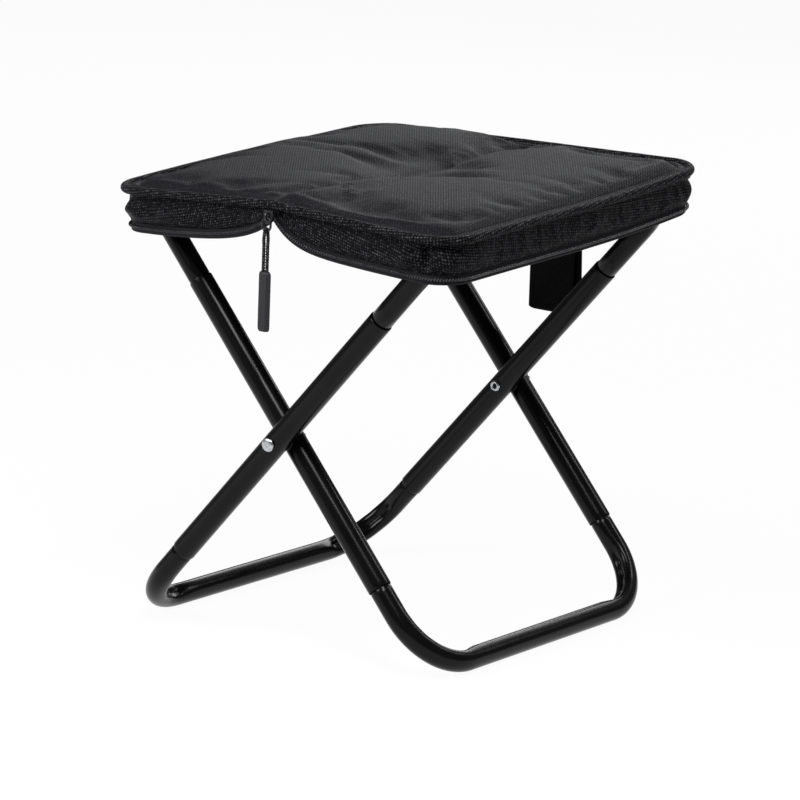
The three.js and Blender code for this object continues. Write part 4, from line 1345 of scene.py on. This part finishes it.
def build_slider():
    """Flat body that narrows downwards, with the bridge that the pull hangs on."""
    low, high = node_box("zip_slider")
    back, top = high.y, high.z
    wide, tail = SLIDER_WIDTH / 2, SLIDER_TAIL_WIDTH / 2
    shares = np.linspace(0, 1, SLIDER_STEPS)
    narrowing = smooth((shares - SLIDER_SHOULDER) / (1 - SLIDER_SHOULDER))
    edge = np.column_stack([-wide + (wide - tail) * narrowing, -SLIDER_HEIGHT * shares])
    outline = np.concatenate([edge, edge[::-1] * (-1, 1)])
    middle = outline.mean(axis=0)
    rings = []
    for depth, size in SLIDER_RINGS:
        flat = middle + (outline - middle) * size
        rings.append(np.column_stack([flat[:, 0], np.full(len(flat), back - depth), top + flat[:, 1]]))
    face = back - SLIDER_THICKNESS + BRIDGE_SINK
    bar = low.y + BRIDGE_BAR / 2
    z_top, z_low = top - BRIDGE_TOP, top - BRIDGE_LOW
    route = [
        (face, z_top), (face - BRIDGE_FOOT, z_top), *[(bar + a, z_top - b) for a, b in BRIDGE_CORNER],
        (bar, (z_top + z_low) / 2),
        *[(bar + a, z_low + b) for a, b in BRIDGE_CORNER[::-1]], (face - BRIDGE_FOOT, z_low), (face, z_low),
    ]
    path = np.array([(0, y, z) for y, z in route])
    up = np.cross(tangents(path), X_AXIS)
    arch = loft(rings_along(path, X_AXIS, up, rounded_box(BRIDGE_WIDTH, BRIDGE_BAR, BRIDGE_ROUND)))
    return shown("zip_slider", [loft(rings), arch], [SLIDER_METAL], sharp_deg=35)


def build_loop():
    """Oval wire loop that hangs on the slider's bridge."""
    low, high = node_box("pull_loop")
    mid = (low + high) / 2
    radius = LOOP_WIDTH / 2 - LOOP_WIRE / 2
    stretch = (high.z - low.z) / 2 - LOOP_WIDTH / 2
    across, along = circle(1, LOOP_STEPS).T
    path = np.column_stack([
        mid.x + radius * across, np.full(LOOP_STEPS, mid.y),
        mid.z + radius * along + stretch * np.tanh(LOOP_SQUARENESS * along),
    ])
    outward = np.cross(tangents(path, closed=True), Y_AXIS)
    wire = loft(rings_along(path, outward, Y_AXIS, circle(LOOP_WIRE / 2, LOOP_SIDES)), closed=True)
    return shown("pull_loop", [wire], [SLIDER_METAL], sharp_deg=60)


def build_cord():
    """Braided cord, doubled over the loop, whose two strands turn side by side towards the tab."""
    low, high = node_box("pull_cord")
    mid_y = (low.y + high.y) / 2
    arch = (high.y - low.y) / 2 - CORD_OD / 2
    turn_z = high.z - CORD_OD / 2 - arch
    foot = (CORD_OD + CORD_GAP) / 2
    drops = np.linspace(0, 1, CORD_STEPS)
    spread = foot + (arch - foot) * (1 - smooth(drops / CORD_SPREAD_RUN))
    turned = CORD_TURN * smooth(drops / CORD_TURN_RUN)
    height = turn_z + (low.z - turn_z) * drops
    last = np.column_stack([spread * np.sin(turned), mid_y + spread * np.cos(turned), height])
    first = np.column_stack([-spread * np.sin(turned), mid_y - spread * np.cos(turned), height])
    bends = math.pi * np.arange(1, CORD_BEND_STEPS) / CORD_BEND_STEPS
    bend = np.column_stack([0 * bends, mid_y - arch * np.cos(bends), turn_z + arch * np.sin(bends)])
    path = np.concatenate([first[::-1], bend, last])
    run = tangents(path)
    side = np.cross(run, X_AXIS)
    side /= np.linalg.norm(side, axis=1, keepdims=True)
    braid = 1 + BRAID_SHARE * np.sin(2 * math.pi * lengths_along(path) / BRAID_PITCH)
    sections = [circle(CORD_OD / 2 * size, CORD_SIDES) for size in braid]
    strand = loft(rings_along(path, side, np.cross(side, run), sections))
    return shown("pull_cord", [strand], [CORD], sharp_deg=60)


def build_tab():
    """Moulded tab with chamfered corners and rounded ends."""
    low, high = node_box("pull_tab")
    mid, size = (low + high) / 2, high - low
    rows = [*TAB_END, *[(size.z - drop, wide, thick) for drop, wide, thick in TAB_END[::-1]]]
    rings = []
    for drop, wide, thick in rows:
        ring = rounded_box(size.x * wide, size.y * thick, TAB_CHAMFER * thick, 1)
        heights = np.full(len(ring), high.z - drop)
        rings.append(np.column_stack([mid.x + ring[:, 0], mid.y + ring[:, 1], heights]))
    return shown("pull_tab", [loft(rings)], [TAB], sharp_deg=30)


# Handle

def build_strap():
    """Flat loop of webbing that hangs open and a little askew, with a seam along its middle."""
    low, high = node_box("carry_handle")
    mid_x, mid_y = (low.x + high.x) / 2, (low.y + high.y) / 2
    arch = (high.y - low.y) / 2 - WEBBING_THICKNESS / 2
    top = high.z - arch - WEBBING_THICKNESS / 2
    drop = top - low.z - arch - WEBBING_THICKNESS / 2
    turns = np.linspace(0, math.pi, HANDLE_TURN_STEPS)
    shares = np.linspace(0, 1, HANDLE_STEPS)[1:-1]
    bulge = np.sin(math.pi * shares)
    skewed = HANDLE_SKEW * turns / math.pi
    outer = arch + HANDLE_OUTER_BELLY * bulge ** 2
    route = np.concatenate([
        np.column_stack([0 * turns, arch * np.cos(turns), arch * np.sin(turns)]),
        np.column_stack([0 * shares, -arch - HANDLE_INNER_BELLY * bulge, -drop * shares]),
        np.column_stack([skewed, -arch * np.cos(turns), -drop - arch * np.sin(turns)]),
        np.column_stack([HANDLE_SKEW * shares, outer, -drop * shares])[::-1],
    ])
    centres = route + np.array([mid_x + HANDLE_SHIFT, mid_y, top])
    out = np.cross(tangents(centres * np.array([0, 1, 1]), closed=True), X_AXIS)
    across = np.linspace(-HANDLE_WIDTH / 2, HANDLE_WIDTH / 2, HANDLE_COLUMNS)
    seam = 1 - WEBBING_SEAM_SHARE * hump(across, WEBBING_SEAM_WIDTH)
    edge = np.minimum(1, (HANDLE_WIDTH / 2 - np.abs(across)) / WEBBING_EDGE + WEBBING_EDGE_SHARE)
    face = np.column_stack([across, WEBBING_THICKNESS / 2 * seam * edge])
    section = np.concatenate([face, face[::-1] * (1, -1)])
    strap = loft(rings_along(centres, X_AXIS, out, section), closed=True)
    return shown("carry_handle", [strap], [WEBBING], sharp_deg=60)


def build_anchor():
    """Sewn end of the handle, with a crossed box of stitches on its far side."""
    low, high = node_box("handle_anchor")
    mid = (low + high) / 2
    section = rounded_box(high.x - low.x, high.y - low.y, ANCHOR_ROUND)
    centres = [(mid.x, mid.y, z) for z in np.linspace(low.z, high.z, ANCHOR_STEPS)]
    left, right = low.x + ANCHOR_SEAM_INSET, high.x - ANCHOR_SEAM_INSET
    foot, head = low.z + ANCHOR_SEAM_INSET, high.z - ANCHOR_SEAM_INSET
    box = [(left, foot), (right, foot), (right, head), (left, head), (left, foot)]
    seams = []
    for first, last in [*zip(box, box[1:]), (box[0], box[2]), (box[1], box[3])]:
        line = [(x, high.y, z) for x, z in np.linspace(first, last, ANCHOR_SEAM_STEPS)]
        seams += stitches(line, Y_AXIS)
    end = loft(rings_along(centres, X_AXIS, Y_AXIS, section))
    return shown("handle_anchor", [end, *seams], [WEBBING, THREAD])


def build_seat():
    for made in (build_pad(), build_piping(), build_band_stitches()):
        crease_blend(made)
    for half, body in ((-1, "seat_left"), (1, "seat_right")):
        for made in [*build_gusset(half), *build_zip(half)]:
            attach(made, body)
            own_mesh(made)
    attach(build_sleeve(-1), "seat_left")
    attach(build_sleeve(1), "rear_frame")
    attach(build_slider(), "seat_left")
    for made in (build_loop(), build_cord(), build_tab()):
        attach(made, "zip_pull")
    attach(build_strap(), "handle")
    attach(build_anchor(), "seat_right")


# Stage

def build_camera():
    data = bpy.data.cameras.new("camera")
    made = new_object("camera", data)
    place, target = Vector(CAMERA_PLACE) * MM, Vector(CAMERA_TARGET) * MM
    turned = (target - place).to_track_quat("-Z", "Y").to_matrix().to_4x4()
    roll = Matrix.Rotation(math.radians(CAMERA_ROLL_DEG), 4, "Z")
    made.matrix_world = Matrix.Translation(place) @ turned @ roll
    data.sensor_width = SENSOR_WIDTH
    data.lens = FOCAL_PIXELS / PHOTO_WIDTH * SENSOR_WIDTH
    data.clip_start, data.clip_end = CAMERA_CLIP[0] * MM, CAMERA_CLIP[1] * MM
    bpy.context.scene.camera = made


def build_floor():
    mesh = bpy.data.meshes.new("floor")
    corners = [(sx * FLOOR_HALF * MM, sy * FLOOR_HALF * MM, -FLOOR_DROP * MM)
               for sx, sy in ((-1, -1), (1, -1), (1, 1), (-1, 1))]
    mesh.from_pydata(corners, [], [(0, 1, 2, 3)])
    mesh.materials.append(matt_white_paper())
    new_object("floor", mesh)


def build_lights():
    world = bpy.data.worlds.new("studio")
    bpy.context.scene.world = world
    world.use_nodes = True
    background = world.node_tree.nodes["Background"]
    set_inputs(world.node_tree, background, {"Color": linear("#ffffff"), "Strength": WORLD_STRENGTH})
    for name, (place, aim, width, height, watts) in SOFTBOXES.items():
        data = bpy.data.lights.new(name, "AREA")
        data.shape = "RECTANGLE"
        data.size, data.size_y = width * MM, height * MM
        data.energy = watts
        made = new_object(name, data)
        made.location = Vector(place) * MM
        made.rotation_euler = (Vector(aim) - Vector(place)).to_track_quat("-Z", "Y").to_euler()
        made.visible_camera = False


# Scene

scene = bpy.context.scene
scene.view_settings.view_transform = "Standard"
build_camera()
build_floor()
build_lights()
build_frames()
build_seat()
